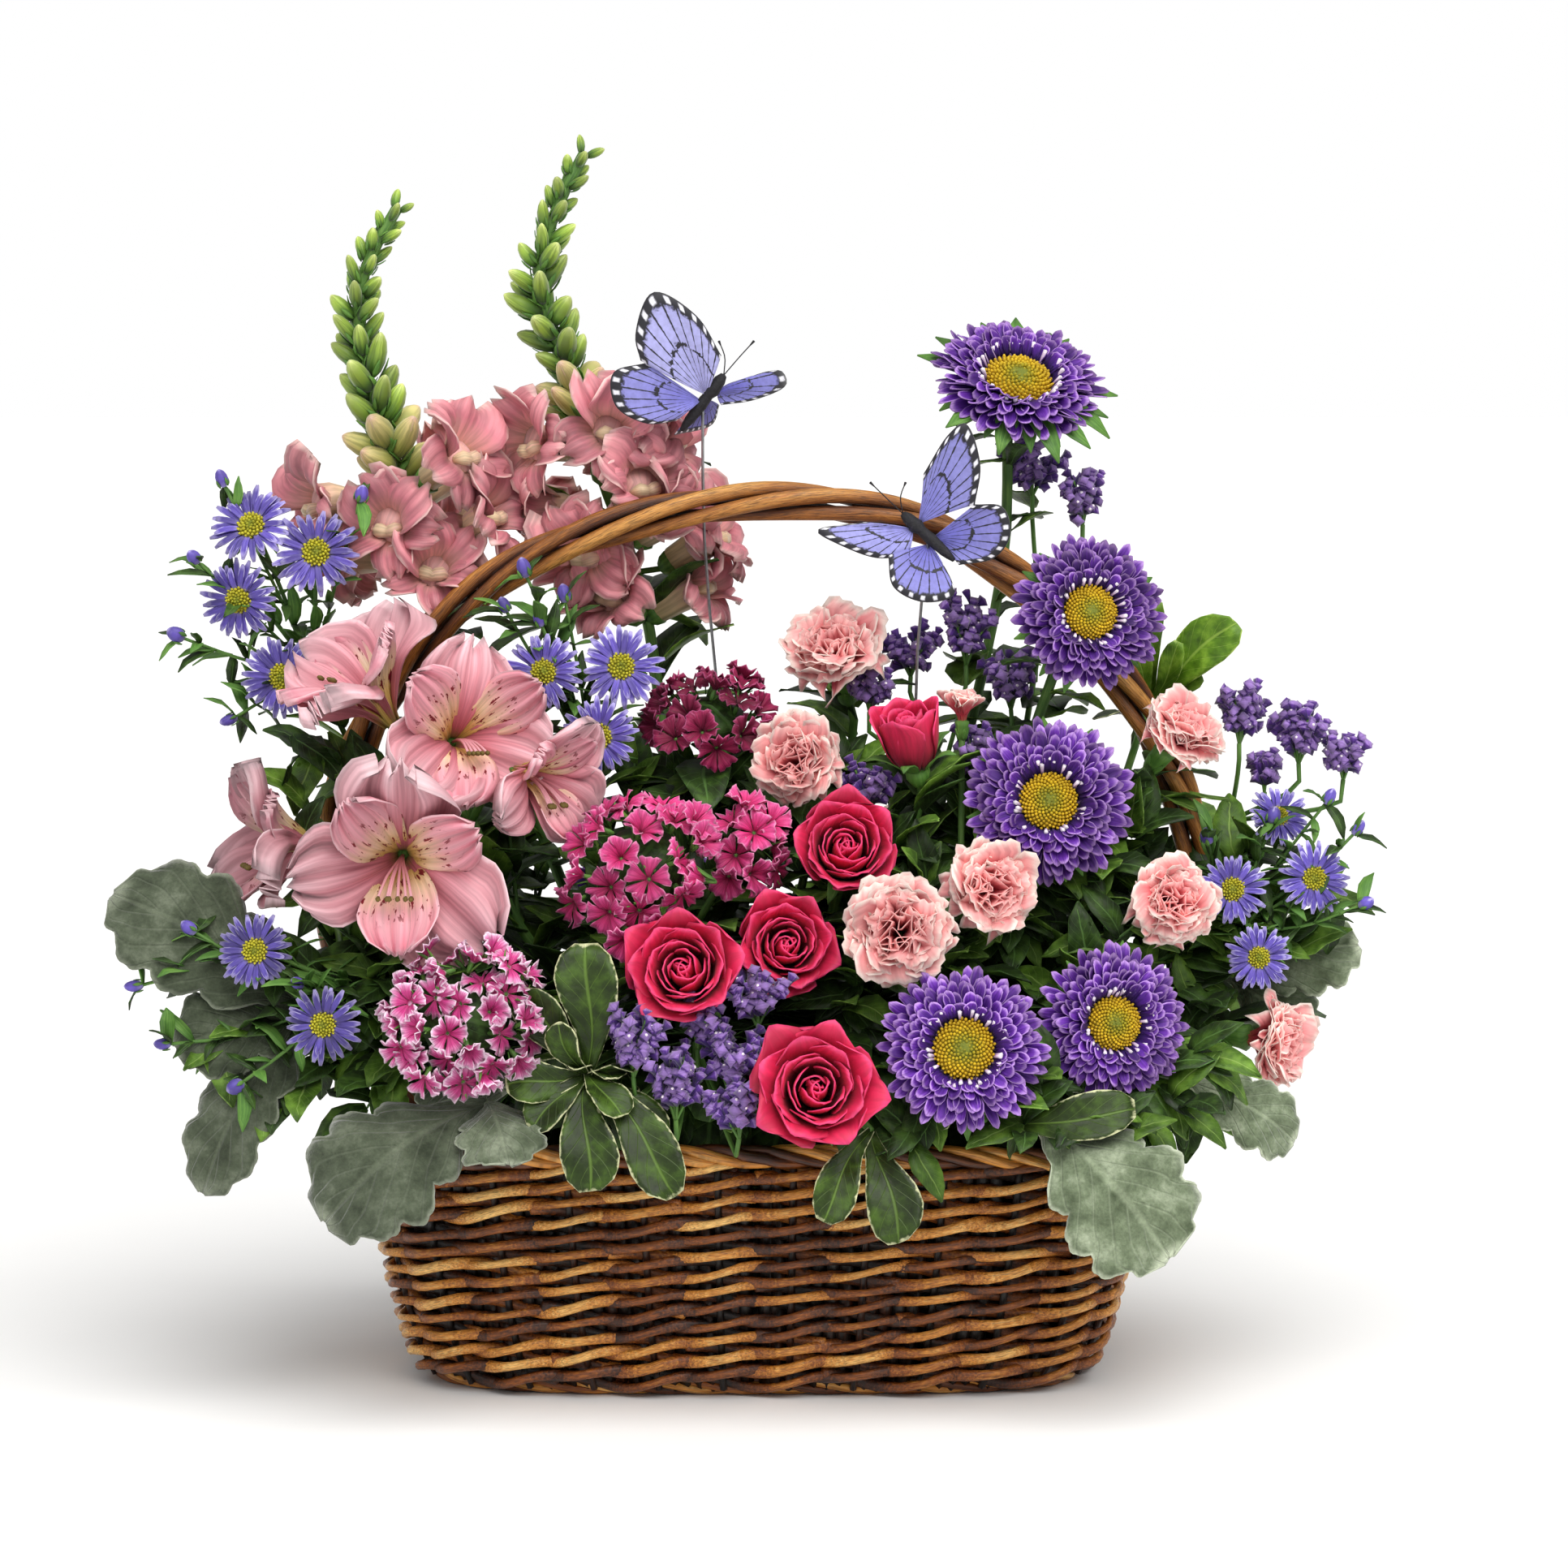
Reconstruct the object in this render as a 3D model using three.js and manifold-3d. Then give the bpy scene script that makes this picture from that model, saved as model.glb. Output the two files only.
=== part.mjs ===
// A flower basket arrangement: a willow basket with a twisted arched handle, a plastic liner with a
// block of floral foam in it, cut flowers and leaves pushed into the foam, and two butterflies on wires.
// Millimetres. +X runs along the basket to the right, +Y to its back, +Z up.
// The origin is the centre of the basket's underside.
import * as THREE from "three";
import { mergeVertices } from "three/addons/utils/BufferGeometryUtils.js";
import Module from "manifold-3d";

const wasm = await Module();
wasm.setup();

// ---------------------------------------------------------------- driving dimensions

const GAP = 0.3; // between pieces that rest on each other

const BASKET = {
  baseHalfLength: 132,
  baseHalfDepth: 74,
  topHalfLength: 158,
  topHalfDepth: 102,
  height: 104,
  wall: 11,
  cornerPower: 4.2, // of the superellipse that its plan follows
  flarePower: 0.5, // under 1, so the sides bulge
  endDip: 0.08, // share of its height that the rim drops at the two ends
};
const RIM_RADIUS = 4.5;
const FOOT_RADIUS = 4;
const BASE_THICKNESS = 8;

const HANDLE = { rods: 4, rodRadius: 3.2, helixRadius: 4.9, turns: 4, sides: 5, steps: 38 };
// The arch's centreline in the XZ plane, from the left leg's foot to the right leg's.
const HANDLE_ROUTE = [
  [-136, 30], [-138, 62], [-139, 98], [-158, 136], [-169, 176], [-168, 218], [-151, 264], [-120, 303],
  [-72, 331], [0, 346], [60, 339], [104, 315], [143, 278], [167, 236], [176, 196], [171, 152],
  [152, 118], [139, 98], [138, 62], [136, 30],
];

// Half length and half depth of the liner at its bottom and at its top edge.
const LINER = { bottom: [100, 56], top: [122, 74], cornerCut: 14, height: 66, thickness: 1.5 };
const FOAM_HEIGHT = 102;
const PEG = 25; // how deep a stem goes into the foam
const COLLAR = 3; // how far above the foam a stem's straight end starts
const UPRIGHT = 14; // how far above the foam a stem starts to turn upright

const LEAF_THICKNESS = 0.8;
const WING_THICKNESS = 0.8;
const WIRE_RADIUS = 0.6;

// ---------------------------------------------------------------- colours

const finish = (color, roughness = 0.7, metalness = 0) =>
  new THREE.MeshStandardMaterial({ color, roughness, metalness });
const FINISH = {
  willow: finish(0x7a4524, 0.45),
  liner: finish(0x1c211d, 0.5),
  foam: finish(0x1f5130, 0.95),
  rose: finish(0xd81f5c, 0.6),
  aster: finish(0x6f4ab8, 0.65),
  daisy: finish(0x5d55c4, 0.65),
  carnation: finish(0xf2aeb0, 0.7),
  snapdragon: finish(0xd97f92, 0.65),
  alstroemeria: finish(0xef9aa6, 0.6),
  sweetWilliam: finish(0xb8276f, 0.7),
  statice: finish(0x5a3aa6, 0.75),
  dustyMiller: finish(0x8b9c8c, 0.9),
  leaf: finish(0x3f5d27, 0.55),
  butterfly: finish(0x6a68c8, 0.6),
  wire: finish(0x9a9c9e, 0.35, 0.9),
};

// ---------------------------------------------------------------- solids from three.js geometry

const at = ([x, y, z]) => new THREE.Vector3(x, y, z);
const direction = (xyz) => at(xyz).normalize();

// A closed geometry as a manifold-3d solid.
function solid(geometry) {
  const bare = geometry.clone();
  for (const name of Object.keys(bare.attributes)) {
    if (name !== "position") bare.deleteAttribute(name);
  }
  const merged = mergeVertices(bare, 1e-3);
  return new wasm.Manifold(
    new wasm.Mesh({
      numProp: 3,
      vertProperties: new Float32Array(merged.attributes.position.array),
      triVerts: new Uint32Array(merged.index.array),
    }),
  );
}

const join = (solids) => solids.reduce((all, next) => all.add(next));

// A solid as a mesh with a name and a material.
function node(name, made, material) {
  const mesh = made.getMesh();
  const geometry = new THREE.BufferGeometry();
  geometry.setAttribute("position", new THREE.BufferAttribute(new Float32Array(mesh.vertProperties), 3));
  geometry.setIndex(new THREE.BufferAttribute(new Uint32Array(mesh.triVerts), 1));
  geometry.computeVertexNormals();
  const out = new THREE.Mesh(geometry, material);
  out.name = name;
  return out;
}

// Rings of points, counterclockwise from above and from bottom to top, skinned and capped.
function loft(rings) {
  const count = rings[0].length;
  const middle = (ring) => ring.reduce((sum, p) => sum.add(p), new THREE.Vector3()).divideScalar(count);
  const points = [...rings.flat(), middle(rings[0]), middle(rings.at(-1))];
  const bottom = points.length - 2;
  const top = points.length - 1;
  const last = (rings.length - 1) * count;
  const index = [];
  for (let i = 0; i < count; i++) {
    const j = (i + 1) % count;
    for (let k = 0; k < last; k += count) {
      index.push(k + i, k + j, k + count + j, k + i, k + count + j, k + count + i);
    }
    index.push(bottom, j, i, top, last + i, last + j);
  }
  return new THREE.BufferGeometry().setFromPoints(points).setIndex(index);
}

// A six-sided hoop along a ring of points, flat on top and underneath. Radius is to its flats.
function hoop(ring, radius) {
  const count = ring.length;
  const sides = 6;
  const points = ring.flatMap((p, i) => {
    const along = ring[(i + 1) % count].clone().sub(ring[(i + count - 1) % count]);
    const out = new THREE.Vector3(along.y, -along.x, 0).normalize();
    return Array.from({ length: sides }, (_, j) => {
      const turn = (2 * Math.PI * j) / sides;
      const reach = radius / Math.cos(Math.PI / sides);
      const offset = out.clone().multiplyScalar(reach * Math.cos(turn));
      return p.clone().add(offset).add(new THREE.Vector3(0, 0, reach * Math.sin(turn)));
    });
  });
  const index = [];
  for (let i = 0; i < count; i++) {
    for (let j = 0; j < sides; j++) {
      const a = i * sides;
      const b = ((i + 1) % count) * sides;
      const next = (j + 1) % sides;
      index.push(a + j, b + j, b + next, a + j, b + next, a + next);
    }
  }
  return new THREE.BufferGeometry().setFromPoints(points).setIndex(index);
}

// A round rod along a smooth curve through points.
function tube(points, radius, sides, steps) {
  const section = new THREE.Shape(
    Array.from({ length: sides }, (_, i) => {
      const turn = (2 * Math.PI * i) / sides;
      return new THREE.Vector2(radius * Math.cos(turn), radius * Math.sin(turn));
    }),
  );
  const extrudePath = new THREE.CatmullRomCurve3(points);
  return solid(new THREE.ExtrudeGeometry(section, { steps, bevelEnabled: false, extrudePath }));
}

// ---------------------------------------------------------------- blooms and leaves

// Kinds of bloom. The profile is half of the bloom's section: how far out and how far forward each point
// lies, as shares of the bloom's radius. The stem joins it on its axis, back radii behind its centre.
const BLOOMS = {
  rose: {
    profile: [[0, -0.75], [0.42, -0.66], [0.92, -0.1], [0.9, 0.3], [0, 0.36]],
    sides: 8,
    back: -0.6,
    stem: 2.3,
  },
  roseBud: {
    profile: [[0, -1.1], [0.5, -0.95], [0.95, -0.2], [0.8, 0.7], [0, 1]],
    sides: 6,
    back: -0.9,
    stem: 1.8,
  },
  aster: {
    profile: [[0, -0.3], [0.3, -0.26], [0.97, -0.02], [0.4, 0.2], [0, 0.24]],
    sides: 9,
    back: -0.2,
    stem: 2.2,
  },
  carnation: {
    profile: [[0, -1], [0.2, -0.95], [0.24, -0.5], [0.85, -0.18], [0.85, 0.25], [0, 0.46]],
    sides: 7,
    back: -0.85,
    stem: 1.8,
  },
  carnationBud: { profile: [[0, -1.1], [0.8, -0.4], [0.7, 0.6], [0, 1]], sides: 6, back: -0.9 },
  daisy: { profile: [[0, -0.26], [0.94, 0], [0.3, 0.14], [0, 0.18]], sides: 6, back: -0.2, stem: 1.3 },
  cluster: {
    profile: [[0, -0.36], [0.6, -0.34], [0.95, 0], [0.6, 0.35], [0, 0.42]],
    sides: 8,
    back: -0.25,
    stem: 2,
  },
  trumpet: {
    profile: [[0, -1], [0.18, -0.9], [0.92, 0.2], [0.5, 0.3], [0, 0.1]],
    sides: 6,
    back: -0.9,
    stem: 2.4,
  },
  statice: { profile: [[0, -1], [0.9, -0.2], [0.8, 0.5], [0, 1]], sides: 4, back: -0.7, stem: 1.3 },
  spikeBud: { profile: [[0, -1], [0.85, -0.3], [0.8, 0.4], [0, 1]], sides: 5 },
  floret: { profile: [[0, -1], [0.45, -0.8], [0.92, 0.6], [0, 1]], sides: 5 },
};

// A bloom centred on a point and looking along face, across wide.
function bloom(kind, centre, face, across) {
  const radius = across / 2;
  const { profile, sides } = BLOOMS[kind];
  const points = profile.map(([out, forward]) => new THREE.Vector2(out * radius, forward * radius));
  const geometry = new THREE.LatheGeometry(points, sides);
  const latheAxis = new THREE.Vector3(0, 1, 0);
  geometry.applyQuaternion(new THREE.Quaternion().setFromUnitVectors(latheAxis, direction(face)));
  geometry.translate(...centre);
  return solid(geometry);
}

// Where a bloom's stem joins it, and a point straight behind that.
function bloomBack(kind, { at: centre, face, across }, straight) {
  const top = at(centre).addScaledVector(direction(face), (BLOOMS[kind].back * across) / 2);
  return [top, top.clone().addScaledVector(direction(face), -straight)];
}

// A flat leaf from base to tip, wide across, with its upper side towards up.
function blade(base, tip, wide, up) {
  const along = at(tip).sub(at(base));
  const length = along.length();
  const shape = new THREE.Shape();
  shape.moveTo(0, 0);
  shape.quadraticCurveTo(wide * 0.62, length * 0.3, wide * 0.34, length * 0.78);
  shape.lineTo(0, length);
  shape.lineTo(-wide * 0.34, length * 0.78);
  shape.quadraticCurveTo(-wide * 0.62, length * 0.3, 0, 0);
  const options = { depth: LEAF_THICKNESS, bevelEnabled: false, curveSegments: 2 };
  const geometry = new THREE.ExtrudeGeometry(shape, options);
  geometry.translate(0, 0, -LEAF_THICKNESS / 2);
  const y = along.normalize();
  const z = at(up).addScaledVector(y, -at(up).dot(y)).normalize();
  const x = new THREE.Vector3().crossVectors(y, z);
  geometry.applyMatrix4(new THREE.Matrix4().makeBasis(x, y, z).setPosition(...base));
  return solid(geometry);
}

// ---------------------------------------------------------------- the basket

const RING_POINTS = 32;

// The wall's outline at a share of its height, moved in by inset and down by drop.
function outline(share, inset, drop = 0) {
  const { cornerPower, flarePower, endDip, height } = BASKET;
  const flare = share ** flarePower;
  const halfLength = BASKET.baseHalfLength + (BASKET.topHalfLength - BASKET.baseHalfLength) * flare;
  const halfDepth = BASKET.baseHalfDepth + (BASKET.topHalfDepth - BASKET.baseHalfDepth) * flare;
  const squared = (v) => Math.sign(v) * Math.abs(v) ** (2 / cornerPower);
  return Array.from({ length: RING_POINTS }, (_, i) => {
    const turn = (2 * Math.PI * (i + 0.5)) / RING_POINTS;
    const out = squared(Math.cos(turn));
    const z = height * share * (1 - endDip * share * out ** 4) - drop;
    return new THREE.Vector3((halfLength - inset) * out, (halfDepth - inset) * squared(Math.sin(turn)), z);
  });
}

// The foot's outline at one height all round.
const footOutline = (inset, z) => outline(0, inset).map((p) => p.setZ(z));

const WALL_FOOT = 2 * FOOT_RADIUS + GAP;
const WALL_FOOT_SHARE = WALL_FOOT / BASKET.height;
const WALL_DROP = 2 * RIM_RADIUS + GAP; // from the top of the rim to the top of the wall

function wallSolid() {
  const shares = [0.14, 0.3, 0.62, 1];
  const foot = outline(WALL_FOOT_SHARE, 0).map((p) => p.setZ(WALL_FOOT));
  const outside = [foot, ...shares.map((share) => outline(share, 0, WALL_DROP * share))];
  const inside = [
    footOutline(BASKET.wall, 0),
    footOutline(BASKET.wall, WALL_FOOT),
    ...shares.map((share) => outline(share, BASKET.wall, WALL_DROP * share)),
    outline(1, BASKET.wall).map((p) => p.setZ(BASKET.height + 1)),
  ];
  return solid(loft(outside)).subtract(solid(loft(inside)));
}

// One of the handle's rods, wound round the arch. Extra is added to its radius, for clearance.
function handleRod(number, extra = 0) {
  const arch = new THREE.CatmullRomCurve3(HANDLE_ROUTE.map(([x, z]) => new THREE.Vector3(x, 0, z)));
  const across = new THREE.Vector3(0, 1, 0);
  const points = Array.from({ length: HANDLE.steps + 1 }, (_, i) => {
    const t = i / HANDLE.steps;
    const turn = 2 * Math.PI * (HANDLE.turns * t + number / HANDLE.rods);
    const out = new THREE.Vector3().crossVectors(across, arch.getTangentAt(t)).normalize();
    return arch
      .getPointAt(t)
      .addScaledVector(across, HANDLE.helixRadius * Math.cos(turn))
      .addScaledVector(out, HANDLE.helixRadius * Math.sin(turn));
  });
  return tube(points, HANDLE.rodRadius + extra, HANDLE.sides, HANDLE.steps);
}

function buildBasket() {
  const rodNumbers = Array.from({ length: HANDLE.rods }, (_, i) => i);
  const rodRoom = join(rodNumbers.map((i) => handleRod(i, GAP)));
  const rim = solid(hoop(outline(1, RIM_RADIUS, RIM_RADIUS), RIM_RADIUS));
  const foot = solid(hoop(footOutline(FOOT_RADIUS, FOOT_RADIUS), FOOT_RADIUS));
  const baseInset = 2 * FOOT_RADIUS + 1;
  const base = solid(loft([footOutline(baseInset, 0), footOutline(baseInset, BASE_THICKNESS)]));

  const group = new THREE.Group();
  group.add(node("basket_base", base, FINISH.willow));
  group.add(node("basket_foot_border", foot, FINISH.willow));
  group.add(node("basket_wall", wallSolid().subtract(rodRoom), FINISH.willow));
  group.add(node("basket_rim", rim.subtract(rodRoom), FINISH.willow));
  for (const i of rodNumbers) {
    group.add(node(`handle_rod_${i + 1}`, handleRod(i), FINISH.willow));
  }
  return group;
}

// ---------------------------------------------------------------- liner and foam

const LINER_FLOOR = BASE_THICKNESS + GAP;
const FOAM_FLOOR = LINER_FLOOR + LINER.thickness + GAP;
const FOAM_TOP = FOAM_FLOOR + FOAM_HEIGHT;

// A rectangle with cut corners, counterclockwise from above, that the liner and the foam both follow.
function trayRing([halfLength, halfDepth], inset, z) {
  const x = halfLength - inset;
  const y = halfDepth - inset;
  const cut = LINER.cornerCut;
  return [
    [x, cut - y], [x, y - cut], [x - cut, y], [cut - x, y],
    [-x, y - cut], [-x, cut - y], [cut - x, -y], [x - cut, -y],
  ].map(([px, py]) => new THREE.Vector3(px, py, z));
}

function linerSolid() {
  const { bottom, top, height, thickness } = LINER;
  const outer = loft([trayRing(bottom, 0, LINER_FLOOR), trayRing(top, 0, LINER_FLOOR + height)]);
  const inner = loft([
    trayRing(bottom, thickness, LINER_FLOOR + thickness),
    trayRing(top, thickness, LINER_FLOOR + height + 1),
  ]);
  return solid(outer).subtract(solid(inner));
}

// Where stems go into the foam: a place on its top, and the stem's radius.
const pegs = [];

// The straight end of a stem, from its collar down into the foam.
function peg([x, y], radius, depth) {
  const geometry = new THREE.CylinderGeometry(radius, radius, depth + COLLAR, 5);
  geometry.rotateX(Math.PI / 2);
  geometry.translate(x, y, FOAM_TOP + (COLLAR - depth) / 2);
  return solid(geometry);
}

function foamSolid() {
  const inset = LINER.thickness + GAP;
  const block = loft([trayRing(LINER.bottom, inset, FOAM_FLOOR), trayRing(LINER.bottom, inset, FOAM_TOP)]);
  return solid(block).subtract(join(pegs.map(({ foot, radius }) => peg(foot, radius + GAP, PEG + GAP))));
}

// A stem or wire from points, the first of which is its top, down to its foot in the foam.
function stemRoute(points, [x, y]) {
  const above = [UPRIGHT, COLLAR - 1].map((height) => new THREE.Vector3(x, y, FOAM_TOP + height));
  return [...points, ...above];
}

function stem(points, foot, radius) {
  pegs.push({ foot, radius });
  return tube(stemRoute(points, foot), radius, 4, 4 + points.length).add(peg(foot, radius, PEG));
}

// ---------------------------------------------------------------- flowers with one bloom

// at is the middle of the bloom, face the way it looks, across its diameter, foot where its stem goes into
// the foam, and by the points that the stem passes.
const SINGLES = [
  { kind: "rose", material: "rose", flowers: {
    rose_front: { at: [23, -129, 131], face: [0.08, -1, 0.3], across: 54, foot: [10, -47] },
    rose_left: { at: [-27, -113, 174], face: [-0.1, -1, 0.35], across: 46, foot: [-16, -33] },
    rose_middle: { at: [12, -88, 180], face: [0.12, -1, 0.3], across: 42, foot: [2, -33] },
    rose_upper: { at: [35, -76, 216], face: [0.05, -1, 0.45], across: 42, foot: [20, -18] },
  } },
  { kind: "roseBud", material: "rose", flowers: {
    rose_bud: { at: [60, -50, 259], face: [-0.2, -0.35, 1], across: 29, foot: [32, -4] },
  } },
  { kind: "aster", material: "aster", flowers: {
    aster_top: {
      at: [105, 25, 393], face: [0.15, -0.62, 0.78], across: 70, foot: [58, 28], by: [[100, 36, 320]],
    },
    aster_upper: { at: [131, -31, 304], face: [0.25, -1, 0.25], across: 61, foot: [72, -4] },
    aster_middle: { at: [114, -57, 232], face: [0, -1, 0.35], across: 66, foot: [62, -18] },
    aster_front: { at: [79, -122, 145], face: [0, -1, 0.3], across: 63, foot: [44, -47] },
    aster_right: { at: [137, -96, 151], face: [0.3, -1, 0.2], across: 60, foot: [76, -33] },
    aster_back: { at: [-48, 104, 178], face: [-0.2, 1, 0.45], across: 62, foot: [-26, 44] },
  } },
  { kind: "carnation", material: "carnation", flowers: {
    carnation_high: { at: [32, -10, 285], face: [-0.2, -0.6, 0.75], across: 50, foot: [16, 10] },
    carnation_middle: { at: [17, -44, 246], face: [-0.3, -1, 0.35], across: 45, foot: [4, -4] },
    carnation_front: { at: [55, -102, 187], face: [-0.05, -1, 0.25], across: 52, foot: [34, -33] },
    carnation_right: { at: [161, -64, 193], face: [0.2, -1, 0.3], across: 43, foot: [78, -18] },
    carnation_upright: { at: [166, -30, 255], face: [0.5, -0.55, 0.7], across: 42, foot: [84, -4] },
    carnation_low: {
      at: [203, -34, 134], face: [0.85, -0.5, -0.1], across: 46, foot: [93, -27], by: [[160, -30, 136]],
    },
    carnation_back: { at: [44, 98, 196], face: [0.25, 1, 0.5], across: 50, foot: [30, 44] },
  } },
  { kind: "cluster", material: "sweetWilliam", flowers: {
    sweet_william_high: { at: [-18, -26, 262], face: [0, -0.6, 0.8], across: 46, foot: [-14, -4] },
    sweet_william_front: { at: [-110, -117, 156], face: [-0.05, -1, 0.25], across: 58, foot: [-62, -47] },
  } },
];

const BLOOM_STRAIGHT = 14; // how far a stem runs straight on behind its bloom

function buildSingles() {
  const group = new THREE.Group();
  for (const { kind, material, flowers } of SINGLES) {
    for (const [name, flower] of Object.entries(flowers)) {
      const route = [...bloomBack(kind, flower, BLOOM_STRAIGHT), ...(flower.by ?? []).map(at)];
      const head = bloom(kind, flower.at, flower.face, flower.across);
      group.add(node(name, head.add(stem(route, flower.foot, BLOOMS[kind].stem)), FINISH[material]));
    }
  }
  return group;
}

// ---------------------------------------------------------------- sprays: several blooms on one stem

// trunk runs from the fork, where the blooms' own stems meet, towards the foot.
const SPRAYS = {
  daisies_left_high: {
    kind: "daisy", material: "daisy", foot: [-88, -2], trunk: [[-178, 17, 276], [-148, 20, 215]],
    blooms: [
      { at: [-201, 0, 336], face: [-0.2, -0.8, 0.5], across: 36 },
      { at: [-175, -6, 326], face: [0.1, -1, 0.25], across: 36 },
      { at: [-206, -2, 307], face: [-0.3, -0.9, -0.1], across: 34 },
      { at: [-189, -2, 276], face: [-0.2, -1, 0.1], across: 34 },
    ],
  },
  daisies_centre: {
    kind: "daisy", material: "daisy", foot: [-40, -18], trunk: [[-64, -22, 238], [-56, -20, 180]],
    blooms: [
      { at: [-83, -40, 281], face: [-0.1, -1, 0.3], across: 33 },
      { at: [-53, -38, 283], face: [0.15, -1, 0.3], across: 34 },
      { at: [-61, -52, 257], face: [0, -1, 0.1], across: 32 },
    ],
  },
  daisies_left_low: {
    kind: "daisy", material: "daisy", foot: [-76, -33], trunk: [[-158, -82, 164], [-126, -58, 142]],
    blooms: [
      { at: [-191, -97, 179], face: [-0.15, -1, 0.15], across: 31 },
      { at: [-164, -112, 153], face: [0, -1, 0], across: 31 },
    ],
  },
  daisies_right: {
    kind: "daisy", material: "daisy", foot: [92, -14], trunk: [[190, -24, 178], [150, -20, 160]],
    blooms: [
      { at: [187, -44, 196], face: [0, -1, 0.2], across: 30 },
      { at: [220, -32, 199], face: [0.2, -1, 0.1], across: 30 },
      { at: [197, -50, 170], face: [0, -1, 0.1], across: 28 },
      { at: [207, -20, 222], face: [0.2, -0.9, 0.4], across: 26 },
    ],
  },
  carnation_spray: {
    kind: "carnation", material: "carnation", foot: [48, -18], trunk: [[80, -52, 184], [66, -36, 150]],
    blooms: [
      { at: [91, -83, 201], face: [0.4, -1, 0.25], across: 40 },
      { kind: "carnationBud", at: [81, -33, 266], face: [0, -0.1, 1], across: 18 },
    ],
  },
  alstroemeria_upper: {
    kind: "trumpet", material: "alstroemeria", foot: [-58, -18], trunk: [[-112, -34, 222], [-94, -28, 180]],
    blooms: [
      { at: [-157, -42, 281], face: [-0.55, -0.3, 0.8], across: 58 },
      { at: [-112, -66, 261], face: [0.3, -1, 0.3], across: 58 },
      { at: [-78, -78, 242], face: [0.7, -0.7, -0.15], across: 46 },
    ],
  },
  alstroemeria_lower: {
    kind: "trumpet", material: "alstroemeria", foot: [-74, -18], trunk: [[-136, -58, 190], [-112, -46, 160]],
    blooms: [
      { at: [-136, -105, 213], face: [0, -1, -0.02], across: 68 },
      { at: [-192, -56, 216], face: [-0.9, -0.3, 0.15], across: 56 },
    ],
  },
  sweet_william_middle: {
    kind: "cluster", material: "sweetWilliam", foot: [-34, -33], trunk: [[-24, -52, 182], [-32, -40, 150]],
    blooms: [
      { at: [-44, -90, 210], face: [-0.15, -1, 0.4], across: 58 },
      { at: [-3, -68, 216], face: [0.2, -1, 0.2], across: 30 },
    ],
  },
  statice_front: {
    kind: "statice", material: "statice", foot: [-12, -47], trunk: [[-24, -82, 142], [-18, -62, 134]],
    blooms: [
      { at: [-46, -121, 143], face: [0, 0, 1], across: 24 },
      { at: [-30, -118, 128], face: [0, 0, 1], across: 26 },
      { at: [-10, -110, 138], face: [0, 0, 1], across: 24 },
      { at: [1, -104, 158], face: [0, 0, 1], across: 18 },
    ],
  },
  statice_back: {
    kind: "statice", material: "statice", foot: [40, 18], trunk: [[76, 14, 240], [58, 18, 180]],
    blooms: [
      { at: [84, 8, 289], face: [0, 0, 1], across: 26 },
      { at: [62, 16, 282], face: [0, 0, 1], across: 20 },
      { at: [102, 6, 270], face: [0, 0, 1], across: 22 },
    ],
  },
  statice_tall: {
    kind: "statice", material: "statice", foot: [74, 28], trunk: [[116, 46, 290], [102, 44, 210]],
    blooms: [
      { at: [112, 44, 354], face: [0, 0, 1], across: 22 },
      { at: [132, 34, 342], face: [0, 0, 1], across: 20 },
    ],
  },
  statice_right: {
    kind: "statice", material: "statice", foot: [80, 14], trunk: [[192, 26, 215], [150, 30, 178]],
    blooms: [
      { at: [194, 10, 256], face: [0, 0, 1], across: 22 },
      { at: [218, 10, 248], face: [0, 0, 1], across: 22 },
      { at: [236, 10, 240], face: [0, 0, 1], across: 18 },
      { at: [214, 26, 180], face: [0, 0, 1], across: 18 },
    ],
  },
};

const SPRAY_STRAIGHT = 8; // how far a bloom's own stem runs straight on behind it

function buildSprays() {
  const group = new THREE.Group();
  for (const [name, { kind, material, foot, trunk, blooms }] of Object.entries(SPRAYS)) {
    const radius = BLOOMS[kind].stem;
    const parts = [stem(trunk.map(at), foot, radius)];
    for (const one of blooms) {
      const own = one.kind ?? kind;
      const route = [...bloomBack(own, one, SPRAY_STRAIGHT), at(trunk[0])];
      parts.push(bloom(own, one.at, one.face, one.across), tube(route, radius, 4, 3));
    }
    group.add(node(name, join(parts), FINISH[material]));
  }
  return group;
}

// ---------------------------------------------------------------- snapdragons

// The spine runs from the spike's tip down. Each floret is a place round it.
const SNAPDRAGONS = {
  snapdragon_left: {
    foot: [-56, 28],
    spine: [
      [-145, 35, 462], [-157, 35, 440], [-161, 35, 416], [-152, 35, 377], [-139, 36, 334], [-120, 36, 284],
      [-84, 34, 200],
    ],
    florets: [[-172, 22, 345], [-122, 18, 362], [-130, 58, 352], [-130, 16, 316], [-160, 44, 322]],
  },
  snapdragon_right: {
    foot: [-24, 28],
    spine: [
      [-70, 45, 484], [-82, 45, 460], [-88, 45, 430], [-75, 46, 393], [-64, 46, 356], [-47, 46, 307],
      [-34, 38, 210],
    ],
    florets: [
      [-86, 32, 368], [-60, 24, 372], [-40, 38, 366], [-58, 66, 364], [-80, 40, 340], [-36, 30, 338],
      [-74, 64, 330], [-28, 42, 308], [-56, 26, 306],
    ],
  },
};
const FLORET_WIDTH = 26;
const FLORET_STALK = 1.5;
const SPIKE_STEM = 2.6;
// The spike's buds: how far down the spine each sits, as a share of its length, and its width.
const SPIKE_BUDS = [[0.02, 10], [0.08, 14], [0.145, 17], [0.21, 21], [0.28, 25]];

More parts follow.
